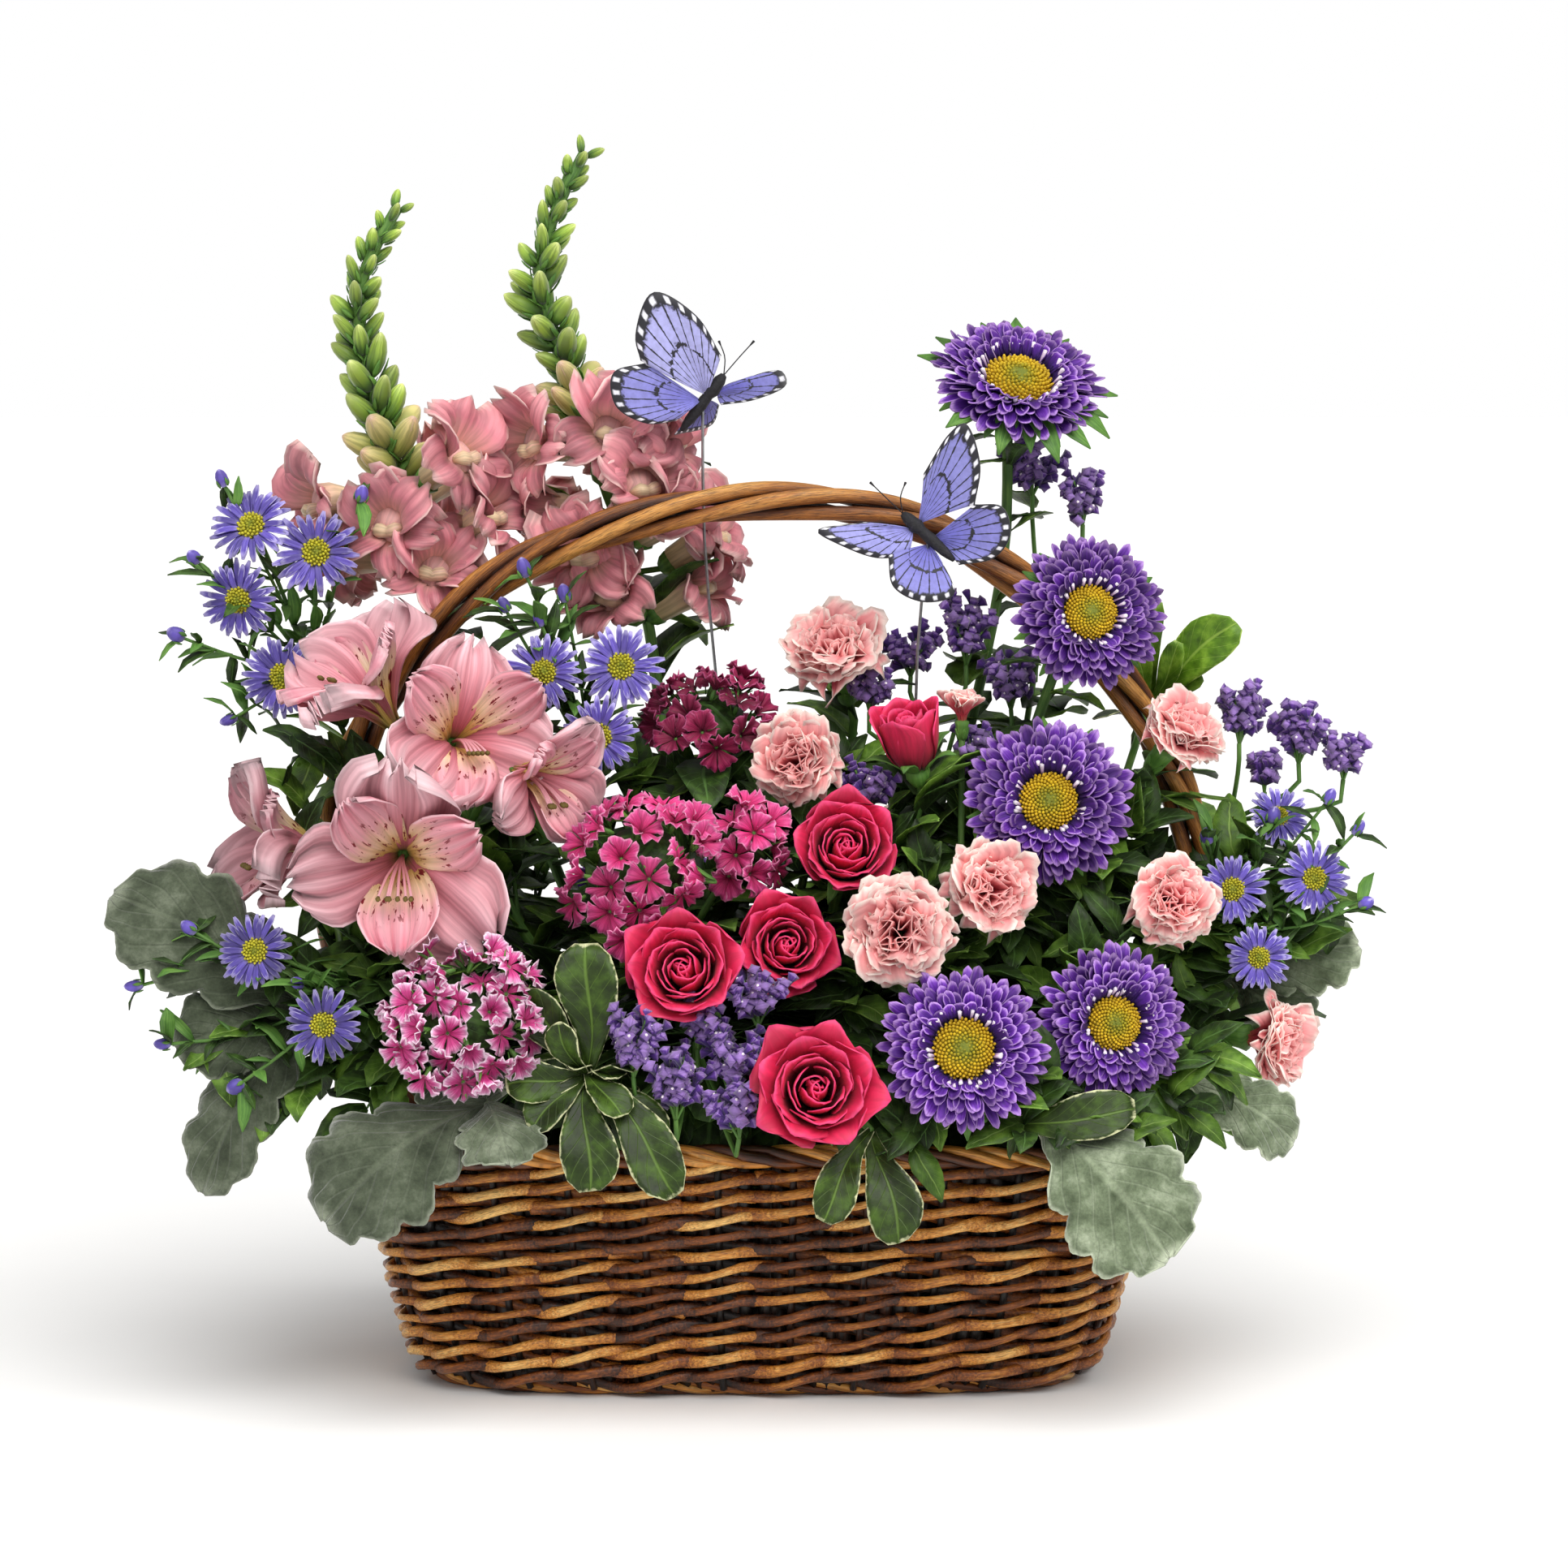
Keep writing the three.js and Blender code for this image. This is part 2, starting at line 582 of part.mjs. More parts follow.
function buildSnapdragons() {
  const group = new THREE.Group();
  for (const [name, { foot, spine, florets }] of Object.entries(SNAPDRAGONS)) {
    const curve = new THREE.CatmullRomCurve3(spine.map(at));
    const parts = [stem(spine.map(at), foot, SPIKE_STEM)];
    for (const [share, across] of SPIKE_BUDS) {
      const place = curve.getPointAt(share).toArray();
      parts.push(bloom("spikeBud", place, curve.getTangentAt(share).toArray(), across));
    }
    for (const place of florets) {
      const middle = at(place);
      const nearest = curve
        .getPoints(40)
        .reduce((a, b) => (a.distanceTo(middle) < b.distanceTo(middle) ? a : b));
      const face = middle.clone().sub(nearest).add(new THREE.Vector3(0, 0, 4));
      parts.push(bloom("floret", place, face.toArray(), FLORET_WIDTH));
      parts.push(tube([nearest, middle], FLORET_STALK, 4, 1));
    }
    group.add(node(name, join(parts), FINISH.snapdragon));
  }
  return group;
}

// ---------------------------------------------------------------- leaf sprigs

// Each leaf runs from the top of the sprig's trunk to its tip.
const SPRIGS = {
  dusty_miller_left: {
    material: "dustyMiller", foot: [-92, -33], trunk: [[-172, -68, 150], [-138, -50, 140]],
    leaves: [
      { tip: [-252, -76, 202], wide: 42, up: [-0.2, -0.8, 0.6] },
      { tip: [-226, -88, 140], wide: 30, up: [-0.3, -0.9, 0.3] },
      { tip: [-216, -98, 82], wide: 34, up: [-0.4, -0.9, 0.2] },
    ],
  },
  dusty_miller_front_left: {
    material: "dustyMiller", foot: [-78, -47], trunk: [[-102, -108, 122], [-92, -84, 126]],
    leaves: [
      { tip: [-166, -136, 80], wide: 46, up: [-0.2, -0.8, 0.55] },
      { tip: [-92, -140, 92], wide: 28, up: [0, -0.8, 0.6] },
    ],
  },
  dusty_miller_front_right: {
    material: "dustyMiller", foot: [80, -47], trunk: [[108, -108, 116], [98, -86, 120]],
    leaves: [{ tip: [160, -132, 64], wide: 46, up: [0.2, -0.9, 0.35] }],
  },
  dusty_miller_right: {
    material: "dustyMiller", foot: [92, -39], trunk: [[166, -66, 124], [134, -60, 128]],
    leaves: [{ tip: [216, -62, 94], wide: 30, up: [0.3, -0.9, 0.4] }],
  },
  dusty_miller_right_high: {
    material: "dustyMiller", foot: [92, 6], trunk: [[192, 9, 152], [150, 16, 144]],
    leaves: [
      { tip: [244, -4, 170], wide: 30, up: [0, -0.8, 0.5] },
      { tip: [222, -4, 130], wide: 26, up: [0.2, -0.9, 0.3] },
    ],
  },
  dusty_miller_back: {
    material: "dustyMiller", foot: [0, 46], trunk: [[4, 104, 124], [2, 84, 126]],
    leaves: [
      { tip: [-34, 132, 82], wide: 36, up: [-0.2, 0.9, 0.4] },
      { tip: [44, 132, 80], wide: 36, up: [0.2, 0.9, 0.4] },
    ],
  },
  pittosporum_left: {
    material: "leaf", foot: [-46, -47], trunk: [[-64, -114, 134], [-56, -92, 128]],
    leaves: [
      { tip: [-64, -114, 184], wide: 26, up: [0, -1, 0.1] },
      { tip: [-94, -124, 132], wide: 19, up: [0, -1, 0.3] },
      { tip: [-62, -138, 94], wide: 24, up: [0, -1, 0.3] },
      { tip: [-30, -138, 92], wide: 22, up: [0.2, -1, 0.3] },
    ],
  },
  pittosporum_front: {
    material: "leaf", foot: [26, -47], trunk: [[44, -112, 112], [36, -88, 118]],
    leaves: [
      { tip: [54, -137, 74], wide: 24, up: [0, -1, 0.2] },
      { tip: [26, -136, 82], wide: 19, up: [0, -1, 0.2] },
    ],
  },
  pittosporum_right: {
    material: "leaf", foot: [62, -47], trunk: [[92, -110, 113], [80, -88, 120]],
    leaves: [{ tip: [144, -118, 122], wide: 22, up: [0, -0.9, 0.5] }],
  },
  pittosporum_upper_right: {
    material: "leaf", foot: [88, 32], trunk: [[160, 38, 262], [140, 44, 205]],
    leaves: [
      { tip: [196, 22, 306], wide: 22, up: [0, -0.9, 0.3] },
      { tip: [152, 20, 328], wide: 18, up: [0, -0.9, 0.2] },
    ],
  },
  pittosporum_back_left: {
    material: "leaf", foot: [-70, 44], trunk: [[-112, 86, 170], [-96, 66, 142]],
    leaves: [
      { tip: [-130, 96, 226], wide: 26, up: [-0.3, 1, 0.2] },
      { tip: [-168, 96, 168], wide: 24, up: [-0.3, 1, 0.3] },
      { tip: [-96, 118, 132], wide: 24, up: [0, 1, 0.3] },
    ],
  },
  pittosporum_back_right: {
    material: "leaf", foot: [70, 44], trunk: [[116, 84, 176], [98, 66, 144]],
    leaves: [
      { tip: [136, 90, 232], wide: 26, up: [0.3, 1, 0.2] },
      { tip: [170, 92, 176], wide: 24, up: [0.3, 1, 0.3] },
      { tip: [100, 118, 134], wide: 24, up: [0, 1, 0.3] },
    ],
  },
};
const SPRIG_STEM = 1.6;
const LEAF_STALK = 1.1;

function buildSprigs() {
  const group = new THREE.Group();
  for (const [name, { material, foot, trunk, leaves }] of Object.entries(SPRIGS)) {
    const parts = [stem(trunk.map(at), foot, SPRIG_STEM)];
    for (const { tip, wide, up } of leaves) {
      const stalkEnd = at(trunk[0]).lerp(at(tip), 0.4);
      parts.push(blade(trunk[0], tip, wide, up), tube([at(trunk[0]), stalkEnd], LEAF_STALK, 4, 1));
    }
    group.add(node(name, join(parts), FINISH[material]));
  }
  return group;
}

// ---------------------------------------------------------------- butterflies

// Each body runs from head to tail. Each wing is an outline of points, and by is what the wire passes.
const BUTTERFLIES = {
  butterfly_left: {
    head: [-13, 8, 396], tail: [-30, 12, 374], foot: [-2, 14], by: [[-21, 17, 330], [-14, 18, 250]],
    wings: [
      [[-20, 9, 388], [-14, 4, 404], [-24, 0, 420], [-41, 0, 429], [-48, 0, 412], [-46, 2, 402]],
      [[-22, 9, 386], [-44, 4, 401], [-57, 2, 397], [-56, 2, 384], [-44, 3, 377], [-32, 6, 378]],
      [[-15, 8, 390], [-6, 20, 394], [10, 34, 397], [12, 34, 392], [0, 24, 386], [-14, 12, 384]],
      [[-19, 9, 386], [-15, 16, 384], [-18, 20, 376], [-33, 16, 372]],
    ],
  },
  butterfly_right: {
    head: [58, -16, 342], tail: [78, -22, 324], foot: [56, 0], by: [[64, -20, 292], [62, -10, 200]],
    wings: [
      [[64, -17, 338], [66, -22, 358], [76, -26, 374], [82, -26, 378], [88, -26, 362], [86, -24, 346]],
      [[70, -18, 333], [86, -24, 346], [97, -24, 345], [100, -24, 334], [94, -22, 325], [80, -20, 322]],
      [[62, -16, 336], [42, -24, 339], [24, -30, 336], [34, -30, 330], [48, -26, 325], [60, -22, 326]],
      [[68, -18, 330], [52, -26, 326], [54, -30, 314], [66, -30, 308], [78, -28, 311], [74, -24, 322]],
    ],
  },
};
const BODY_RADIUS = 2.4;

// A thin flat plate with an outline that follows the points as nearly as a plane can.
function wing(outlinePoints) {
  const points = outlinePoints.map(at);
  const middle = points.reduce((sum, p) => sum.add(p), new THREE.Vector3()).divideScalar(points.length);
  const normal = points.reduce((sum, p, i) => {
    const next = points[(i + 1) % points.length];
    return sum.add(p.clone().sub(middle).cross(next.clone().sub(middle)));
  }, new THREE.Vector3()).normalize();
  const x = points[1].clone().sub(points[0]).projectOnPlane(normal).normalize();
  const y = new THREE.Vector3().crossVectors(normal, x);
  const flat = points.map((p) => p.clone().sub(middle)).map((p) => new THREE.Vector2(p.dot(x), p.dot(y)));
  const options = { depth: WING_THICKNESS, bevelEnabled: false };
  const geometry = new THREE.ExtrudeGeometry(new THREE.Shape(flat), options);
  geometry.translate(0, 0, -WING_THICKNESS / 2);
  geometry.applyMatrix4(new THREE.Matrix4().makeBasis(x, y, normal).setPosition(middle));
  return solid(geometry);
}

function buildButterflies() {
  const group = new THREE.Group();
  for (const [name, { head, tail, foot, by, wings }] of Object.entries(BUTTERFLIES)) {
    const middle = at(head).lerp(at(tail), 0.5);
    const insect = join([tube([at(head), middle, at(tail)], BODY_RADIUS, 6, 2), ...wings.map(wing)]);
    const belly = middle.clone().add(new THREE.Vector3(0, 0, -1));
    const route = stemRoute([belly, ...by.map(at)], foot);
    const steps = 10;
    const room = tube(route, WIRE_RADIUS + GAP, 4, steps);
    const wire = tube(route, WIRE_RADIUS, 4, steps).add(peg(foot, WIRE_RADIUS, PEG));
    pegs.push({ foot, radius: WIRE_RADIUS });
    group.add(node(name, insect.subtract(room), FINISH.butterfly));
    group.add(node(`${name}_wire`, wire, FINISH.wire));
  }
  return group;
}

// ---------------------------------------------------------------- the arrangement

const arrangement = new THREE.Group();
arrangement.add(buildBasket(), buildSingles(), buildSprays());
arrangement.add(buildSnapdragons(), buildSprigs(), buildButterflies());
arrangement.add(node("liner", linerSolid(), FINISH.liner));
arrangement.add(node("floral_foam", foamSolid(), FINISH.foam));

export default arrangement;
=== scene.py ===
"""The looks of the flower basket arrangement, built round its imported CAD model.

Tables and shapes are in millimetres, in the CAD's frame: +X right, +Y back, +Z up. A Build turns them into
a mesh in metres. Each bloom is made round the origin, looking along +Z, and is then turned to its place.
"""
import math

import bpy
import numpy as np
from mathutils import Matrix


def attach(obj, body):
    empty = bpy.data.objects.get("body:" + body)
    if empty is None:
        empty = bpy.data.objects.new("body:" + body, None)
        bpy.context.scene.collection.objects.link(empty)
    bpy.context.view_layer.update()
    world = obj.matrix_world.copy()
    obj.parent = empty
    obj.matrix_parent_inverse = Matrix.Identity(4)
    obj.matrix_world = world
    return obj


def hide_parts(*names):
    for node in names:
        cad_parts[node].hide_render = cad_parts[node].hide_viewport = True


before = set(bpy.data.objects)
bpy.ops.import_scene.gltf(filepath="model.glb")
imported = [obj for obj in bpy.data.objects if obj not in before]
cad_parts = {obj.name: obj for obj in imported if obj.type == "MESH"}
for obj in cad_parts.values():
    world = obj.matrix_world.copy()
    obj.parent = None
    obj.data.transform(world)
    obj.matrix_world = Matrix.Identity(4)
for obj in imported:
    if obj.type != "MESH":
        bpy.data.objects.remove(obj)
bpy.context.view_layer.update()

# ---------------------------------------------------------------- numbers shared with the CAD

BASKET = {"base": (132, 74), "top": (158, 102), "height": 104, "corner": 4.2, "flare": 0.5, "dip": 0.08}
RIM_RADIUS = 4.5
RIM_TOP = BASKET["height"]
FOOT_RADIUS = 4
HANDLE = {"rods": 4, "radius": 3.2, "helix": 4.9, "turns": 4}
HANDLE_ROUTE = [
    (-136, 30), (-138, 62), (-139, 98), (-158, 136), (-169, 176), (-168, 218), (-151, 264), (-120, 303),
    (-72, 331), (0, 346), (60, 339), (104, 315), (143, 278), (167, 236), (176, 196), (171, 152),
    (152, 118), (139, 98), (138, 62), (136, 30),
]
FOAM_TOP = 112.1
PEG = 25
UPRIGHT = 14
COLLAR = 2

# node: where the bloom is, the way it looks, its width, its stem's foot and what the stem passes
SINGLES = {
    "rose_front": ((23, -129, 131), (0.08, -1, 0.3), 54, (10, -47), []),
    "rose_left": ((-27, -113, 174), (-0.1, -1, 0.35), 46, (-16, -33), []),
    "rose_middle": ((12, -88, 180), (0.12, -1, 0.3), 42, (2, -33), []),
    "rose_upper": ((35, -76, 216), (0.05, -1, 0.45), 42, (20, -18), []),
    "rose_bud": ((60, -50, 259), (-0.2, -0.35, 1), 29, (32, -4), []),
    "aster_top": ((105, 25, 393), (0.15, -0.62, 0.78), 70, (58, 28), [(100, 36, 320)]),
    "aster_upper": ((131, -31, 304), (0.25, -1, 0.25), 61, (72, -4), []),
    "aster_middle": ((114, -57, 232), (0, -1, 0.35), 66, (62, -18), []),
    "aster_front": ((79, -122, 145), (0, -1, 0.3), 63, (44, -47), []),
    "aster_right": ((137, -96, 151), (0.3, -1, 0.2), 60, (76, -33), []),
    "aster_back": ((-48, 104, 178), (-0.2, 1, 0.45), 62, (-26, 44), []),
    "carnation_high": ((32, -10, 285), (-0.2, -0.6, 0.75), 50, (16, 10), []),
    "carnation_middle": ((17, -44, 246), (-0.3, -1, 0.35), 45, (4, -4), []),
    "carnation_front": ((55, -102, 187), (-0.05, -1, 0.25), 52, (34, -33), []),
    "carnation_right": ((161, -64, 193), (0.2, -1, 0.3), 43, (78, -18), []),
    "carnation_upright": ((166, -30, 255), (0.5, -0.55, 0.7), 42, (84, -4), []),
    "carnation_low": ((203, -34, 134), (0.85, -0.5, -0.1), 46, (93, -27), [(160, -30, 136)]),
    "carnation_back": ((44, 98, 196), (0.25, 1, 0.5), 50, (30, 44), []),
    "sweet_william_high": ((-18, -26, 262), (0, -0.6, 0.8), 46, (-14, -4), []),
    "sweet_william_front": ((-110, -117, 156), (-0.05, -1, 0.25), 58, (-62, -47), []),
}

# node: the stem's foot, its trunk from the fork down, and for each bloom its place, direction and width
SPRAYS = {
    "daisies_left_high": ((-88, -2), [(-178, 17, 276), (-148, 20, 215)], [
        ((-201, 0, 336), (-0.2, -0.8, 0.5), 36), ((-175, -6, 326), (0.1, -1, 0.25), 36),
        ((-206, -2, 307), (-0.3, -0.9, -0.1), 34), ((-189, -2, 276), (-0.2, -1, 0.1), 34)]),
    "daisies_centre": ((-40, -18), [(-64, -22, 238), (-56, -20, 180)], [
        ((-83, -40, 281), (-0.1, -1, 0.3), 33), ((-53, -38, 283), (0.15, -1, 0.3), 34),
        ((-61, -52, 257), (0, -1, 0.1), 32)]),
    "daisies_left_low": ((-76, -33), [(-158, -82, 164), (-126, -58, 142)], [
        ((-191, -97, 179), (-0.15, -1, 0.15), 31), ((-164, -112, 153), (0, -1, 0), 31)]),
    "daisies_right": ((92, -14), [(190, -24, 178), (150, -20, 160)], [
        ((187, -44, 196), (0, -1, 0.2), 30), ((220, -32, 199), (0.2, -1, 0.1), 30),
        ((197, -50, 170), (0, -1, 0.1), 28), ((207, -20, 222), (0.2, -0.9, 0.4), 26)]),
    "carnation_spray": ((48, -18), [(80, -52, 184), (66, -36, 150)], [
        ((89, -82, 201), (0.4, -1, 0.25), 46), ((81, -33, 266), (0, -0.1, 1), 18)]),
    "alstroemeria_upper": ((-58, -18), [(-112, -34, 222), (-94, -28, 180)], [
        ((-157, -42, 281), (-0.55, -0.3, 0.8), 58), ((-112, -66, 261), (0.3, -1, 0.3), 58),
        ((-78, -78, 242), (0.7, -0.7, -0.15), 46)]),
    "alstroemeria_lower": ((-74, -18), [(-136, -58, 190), (-112, -46, 160)], [
        ((-136, -105, 213), (0, -1, -0.02), 68), ((-192, -56, 216), (-0.9, -0.3, 0.15), 56)]),
    "sweet_william_middle": ((-34, -33), [(-24, -52, 182), (-32, -40, 150)], [
        ((-44, -90, 210), (-0.15, -1, 0.4), 58), ((-3, -68, 216), (0.2, -1, 0.2), 30)]),
    "statice_front": ((-12, -47), [(-24, -82, 142), (-18, -62, 134)], [
        ((-46, -121, 143), (0, 0, 1), 25), ((-30, -120, 127), (0, 0, 1), 27),
        ((-10, -112, 136), (0, 0, 1), 26), ((1, -104, 158), (0, 0, 1), 20),
        ((-22, -106, 150), (0, 0, 1), 20), ((-6, -122, 118), (0, 0, 1), 20)]),
    "statice_back": ((40, 18), [(76, 14, 240), (58, 18, 180)], [
        ((84, 8, 289), (0, 0, 1), 26), ((62, 16, 282), (0, 0, 1), 20), ((102, 6, 270), (0, 0, 1), 22),
        ((45, -6, 268), (0, 0, 1), 16), ((86, -22, 244), (0, 0, 1), 20), ((44, -38, 232), (0, 0, 1), 18)]),
    "statice_tall": ((74, 28), [(116, 46, 290), (102, 44, 210)], [
        ((112, 44, 354), (0, 0, 1), 22), ((132, 34, 342), (0, 0, 1), 20)]),
    "statice_right": ((80, 14), [(192, 26, 215), (150, 30, 178)], [
        ((194, 10, 256), (0, 0, 1), 22), ((218, 10, 248), (0, 0, 1), 22),
        ((236, 10, 240), (0, 0, 1), 18), ((214, 26, 182), (0, 0, 1), 18), ((204, 6, 234), (0, 0, 1), 14)]),
}

# node: the ends of leafy side stems
FRONDS = {
    "alstroemeria_lower": [(-184, -30, 232), (-176, -26, 196), (-166, -36, 168), (-178, -44, 206)],
    "alstroemeria_upper": [(-184, -16, 254), (-160, -10, 232), (-104, -14, 256)],
    "daisies_left_low": [
        (-206, -74, 172), (-184, -52, 128), (-168, -66, 188), (-212, -80, 142), (-190, -84, 116),
        (-150, -84, 116), (-146, -78, 166)],
    "daisies_right": [(212, -16, 166), (196, -6, 206), (178, -34, 142), (226, -14, 190)],
    "statice_right": [(196, 30, 190), (206, 20, 150), (176, 40, 160)],
    "carnation_upright": [(150, -30, 216), (166, -28, 186)],
    "aster_right": [(172, -84, 134), (150, -60, 186), (150, -100, 112), (164, -92, 118), (134, -108, 108)],
    "aster_front": [(104, -116, 112), (118, -112, 120), (60, -118, 108)],
    "carnation_low": [(186, -40, 124), (168, -44, 116)],
    "snapdragon_left": [(-120, 60, 190), (-96, 70, 150)],
    "sweet_william_middle": [
        (-62, -34, 204), (-26, -24, 226), (-74, -16, 176), (-52, -10, 236), (-14, -20, 190)],
    "sweet_william_high": [(-30, 0, 230), (-8, 4, 244), (6, 6, 216)],
    "carnation_middle": [(2, -14, 226), (36, -10, 236), (22, -4, 204)],
    "rose_upper": [(58, -40, 212), (62, -20, 234), (44, -20, 190)],
    "carnation_front": [(78, -66, 168), (34, -70, 152), (66, -50, 196)],
    "aster_middle": [(92, -14, 246), (84, -20, 214), (140, -40, 206), (120, -30, 196), (98, -30, 178)],
    "rose_left": [(-44, -70, 168), (-60, -56, 186)],
}

# node: the tips of the side stems that end in a bud
BUDS = {
    "daisies_left_high": [(-222, -4, 322), (-212, 4, 352), (-158, 2, 346), (-208, 0, 260), (-228, -6, 292)],
    "daisies_centre": [(-90, -30, 318), (-75, -28, 308), (-98, -28, 304), (-84, -34, 299)],
    "daisies_left_low": [
        (-215, -88, 185), (-236, -84, 164), (-225, -90, 142), (-196, -102, 129), (-173, -100, 166)],
    "daisies_right": [(225, -26, 228), (236, -28, 216), (204, -24, 220), (238, -34, 188), (178, -40, 214)],
}

# node: the stem's foot, the spine from the spike's tip down, and where the florets are
SNAPDRAGONS = {
    "snapdragon_left": (
        (-56, 28),
        [(-145, 35, 462), (-157, 35, 440), (-161, 35, 416), (-152, 35, 377), (-139, 36, 334),
         (-120, 36, 284), (-84, 34, 200)],
        [(-172, 22, 345), (-122, 18, 362), (-130, 58, 352), (-130, 16, 316), (-160, 44, 322), (-112, 22, 338),
         (-146, 14, 336)]),
    "snapdragon_right": (
        (-24, 28),
        [(-70, 45, 484), (-82, 45, 460), (-88, 45, 430), (-75, 46, 393), (-64, 46, 356),
         (-47, 46, 307), (-34, 38, 210)],
        [(-86, 32, 368), (-60, 24, 372), (-40, 38, 366), (-58, 66, 364), (-80, 40, 340),
         (-36, 30, 338), (-74, 64, 330), (-28, 42, 308), (-56, 26, 306), (-48, 22, 350), (-22, 42, 328),
         (-66, 24, 324)]),
}

# node: the stem's foot, its trunk from the top down, and for each leaf its tip, width and upper side
SPRIGS = {
    "dusty_miller_left": ((-92, -33), [(-172, -68, 150), (-138, -50, 140)], [
        ((-252, -76, 202), 42, (-0.2, -0.8, 0.6)), ((-226, -88, 140), 30, (-0.3, -0.9, 0.3)),
        ((-216, -98, 82), 29, (-0.4, -0.9, 0.2))]),
    "dusty_miller_front_left": ((-78, -47), [(-102, -108, 122), (-92, -84, 126)], [
        ((-166, -136, 80), 46, (-0.2, -0.8, 0.55)), ((-92, -141, 104), 28, (0, -0.7, 0.8))]),
    "dusty_miller_front_right": ((80, -47), [(108, -108, 116), (98, -86, 120)], [
        ((160, -132, 64), 46, (0.2, -0.9, 0.35))]),
    "dusty_miller_right": ((92, -39), [(166, -66, 124), (134, -60, 128)], [
        ((214, -62, 98), 25, (0.3, -0.9, 0.4))]),
    "dusty_miller_right_high": ((92, 6), [(192, 9, 152), (150, 16, 144)], [
        ((244, -4, 170), 30, (0, -0.8, 0.5)), ((222, -4, 130), 26, (0.2, -0.9, 0.3))]),
    "dusty_miller_back": ((0, 46), [(4, 104, 124), (2, 84, 126)], [
        ((-34, 132, 82), 36, (-0.2, 0.9, 0.4)), ((44, 132, 80), 36, (0.2, 0.9, 0.4))]),
    "pittosporum_left": ((-46, -47), [(-64, -114, 134), (-56, -92, 128)], [
        ((-64, -114, 184), 27, (0, -1, 0.1)), ((-94, -124, 132), 20, (0, -1, 0.3)),
        ((-62, -138, 94), 25, (0, -1, 0.3)), ((-30, -138, 92), 24, (0.2, -1, 0.3)),
        ((-90, -118, 166), 20, (-0.3, -1, 0.2)), ((-74, -130, 156), 15, (-0.4, -1, 0.1)),
        ((-50, -134, 122), 18, (0.2, -0.6, 0.8)), ((-34, -124, 112), 20, (0.3, -0.8, 0.5)),
        ((-84, -130, 116), 18, (-0.2, -0.9, 0.5))]),
    "pittosporum_front": ((26, -47), [(44, -112, 112), (36, -88, 118)], [
        ((54, -137, 74), 24, (0, -1, 0.2)), ((26, -136, 82), 19, (0, -1, 0.2))]),
    "pittosporum_right": ((62, -47), [(92, -110, 113), (80, -88, 120)], [
        ((144, -118, 122), 22, (0, -0.9, 0.5))]),
    "pittosporum_upper_right": ((88, 32), [(160, 38, 262), (140, 44, 205)], [
        ((193, 20, 296), 23, (0, -0.9, 0.3)), ((162, 22, 304), 10, (0, -0.9, 0.2)),
        ((170, 20, 288), 11, (0, -0.9, 0.3)), ((180, 26, 274), 12, (0.3, -0.8, 0.4)),
        ((150, 24, 290), 12, (-0.2, -0.9, 0.3))]),
    "pittosporum_back_left": ((-70, 44), [(-112, 86, 170), (-96, 66, 142)], [
        ((-130, 96, 226), 26, (-0.3, 1, 0.2)), ((-168, 96, 168), 24, (-0.3, 1, 0.3)),
        ((-96, 118, 132), 24, (0, 1, 0.3))]),
    "pittosporum_back_right": ((70, 44), [(116, 84, 176), (98, 66, 144)], [
        ((136, 90, 232), 26, (0.3, 1, 0.2)), ((170, 92, 176), 24, (0.3, 1, 0.3)),
        ((100, 118, 134), 24, (0, 1, 0.3))]),
}

# node: the body's head and tail, and the outlines of the four wings, each from its root
BUTTERFLIES = {
    "butterfly_left": ((-13, 8, 396), (-30, 12, 374), [
        [(-20, 9, 388), (-14, 4, 404), (-24, 0, 420), (-41, 0, 429), (-48, 0, 412), (-46, 2, 402)],
        [(-22, 9, 386), (-44, 4, 401), (-57, 2, 397), (-56, 2, 384), (-44, 3, 377), (-32, 6, 378)],
        [(-15, 8, 390), (-6, 20, 394), (10, 34, 397), (12, 34, 392), (0, 24, 386), (-14, 12, 384)],
        [(-19, 9, 386), (-15, 16, 384), (-18, 20, 376), (-33, 16, 372)]]),
    "butterfly_right": ((58, -16, 342), (78, -22, 324), [
        [(64, -17, 338), (66, -22, 358), (76, -26, 374), (82, -26, 378), (88, -26, 362), (86, -24, 346)],
        [(70, -18, 333), (86, -24, 346), (97, -24, 345), (100, -24, 334), (94, -22, 325), (80, -20, 322)],
        [(62, -16, 336), (42, -24, 339), (24, -30, 336), (34, -30, 330), (48, -26, 325), (60, -22, 326)],
        [(68, -18, 330), (52, -26, 326), (54, -30, 314), (66, -30, 308), (78, -28, 311), (74, -24, 322)]]),
}

# ---------------------------------------------------------------- camera, light and floor

VIEW_CENTRE = (0.011, 0, 0.233)
VIEW_DISTANCE = 2.0
VIEW_ELEVATION = math.radians(6)
PHOTO_WIDTH = 1932  # pixels
PIXEL = 0.000325  # metres, at the view's centre
SENSOR = 36


def add_object(name, data):
    made = bpy.data.objects.new(name, data)
    bpy.context.scene.collection.objects.link(made)
    return made


def build_camera():
    camera = add_object("camera", bpy.data.cameras.new("camera"))
    x, y, z = VIEW_CENTRE
    camera.location = (
        x,
        y - VIEW_DISTANCE * math.cos(VIEW_ELEVATION),
        z + VIEW_DISTANCE * math.sin(VIEW_ELEVATION),
    )
    camera.rotation_euler = (math.pi / 2 - VIEW_ELEVATION, 0, 0)
    camera.data.sensor_width = SENSOR
    camera.data.lens = SENSOR * VIEW_DISTANCE / (PHOTO_WIDTH * PIXEL)
    bpy.context.scene.camera = camera


def sun(name, strength, spread, tilt, turn, color=(1, 1, 1)):
    """A soft distant light. Tilt is from straight down, turn is about Z; degrees."""
    light = bpy.data.lights.new(name, "SUN")
    light.energy = strength
    light.angle = math.radians(spread)
    light.color = color
    add_object(name, light).rotation_euler = (math.radians(tilt), 0, math.radians(turn))


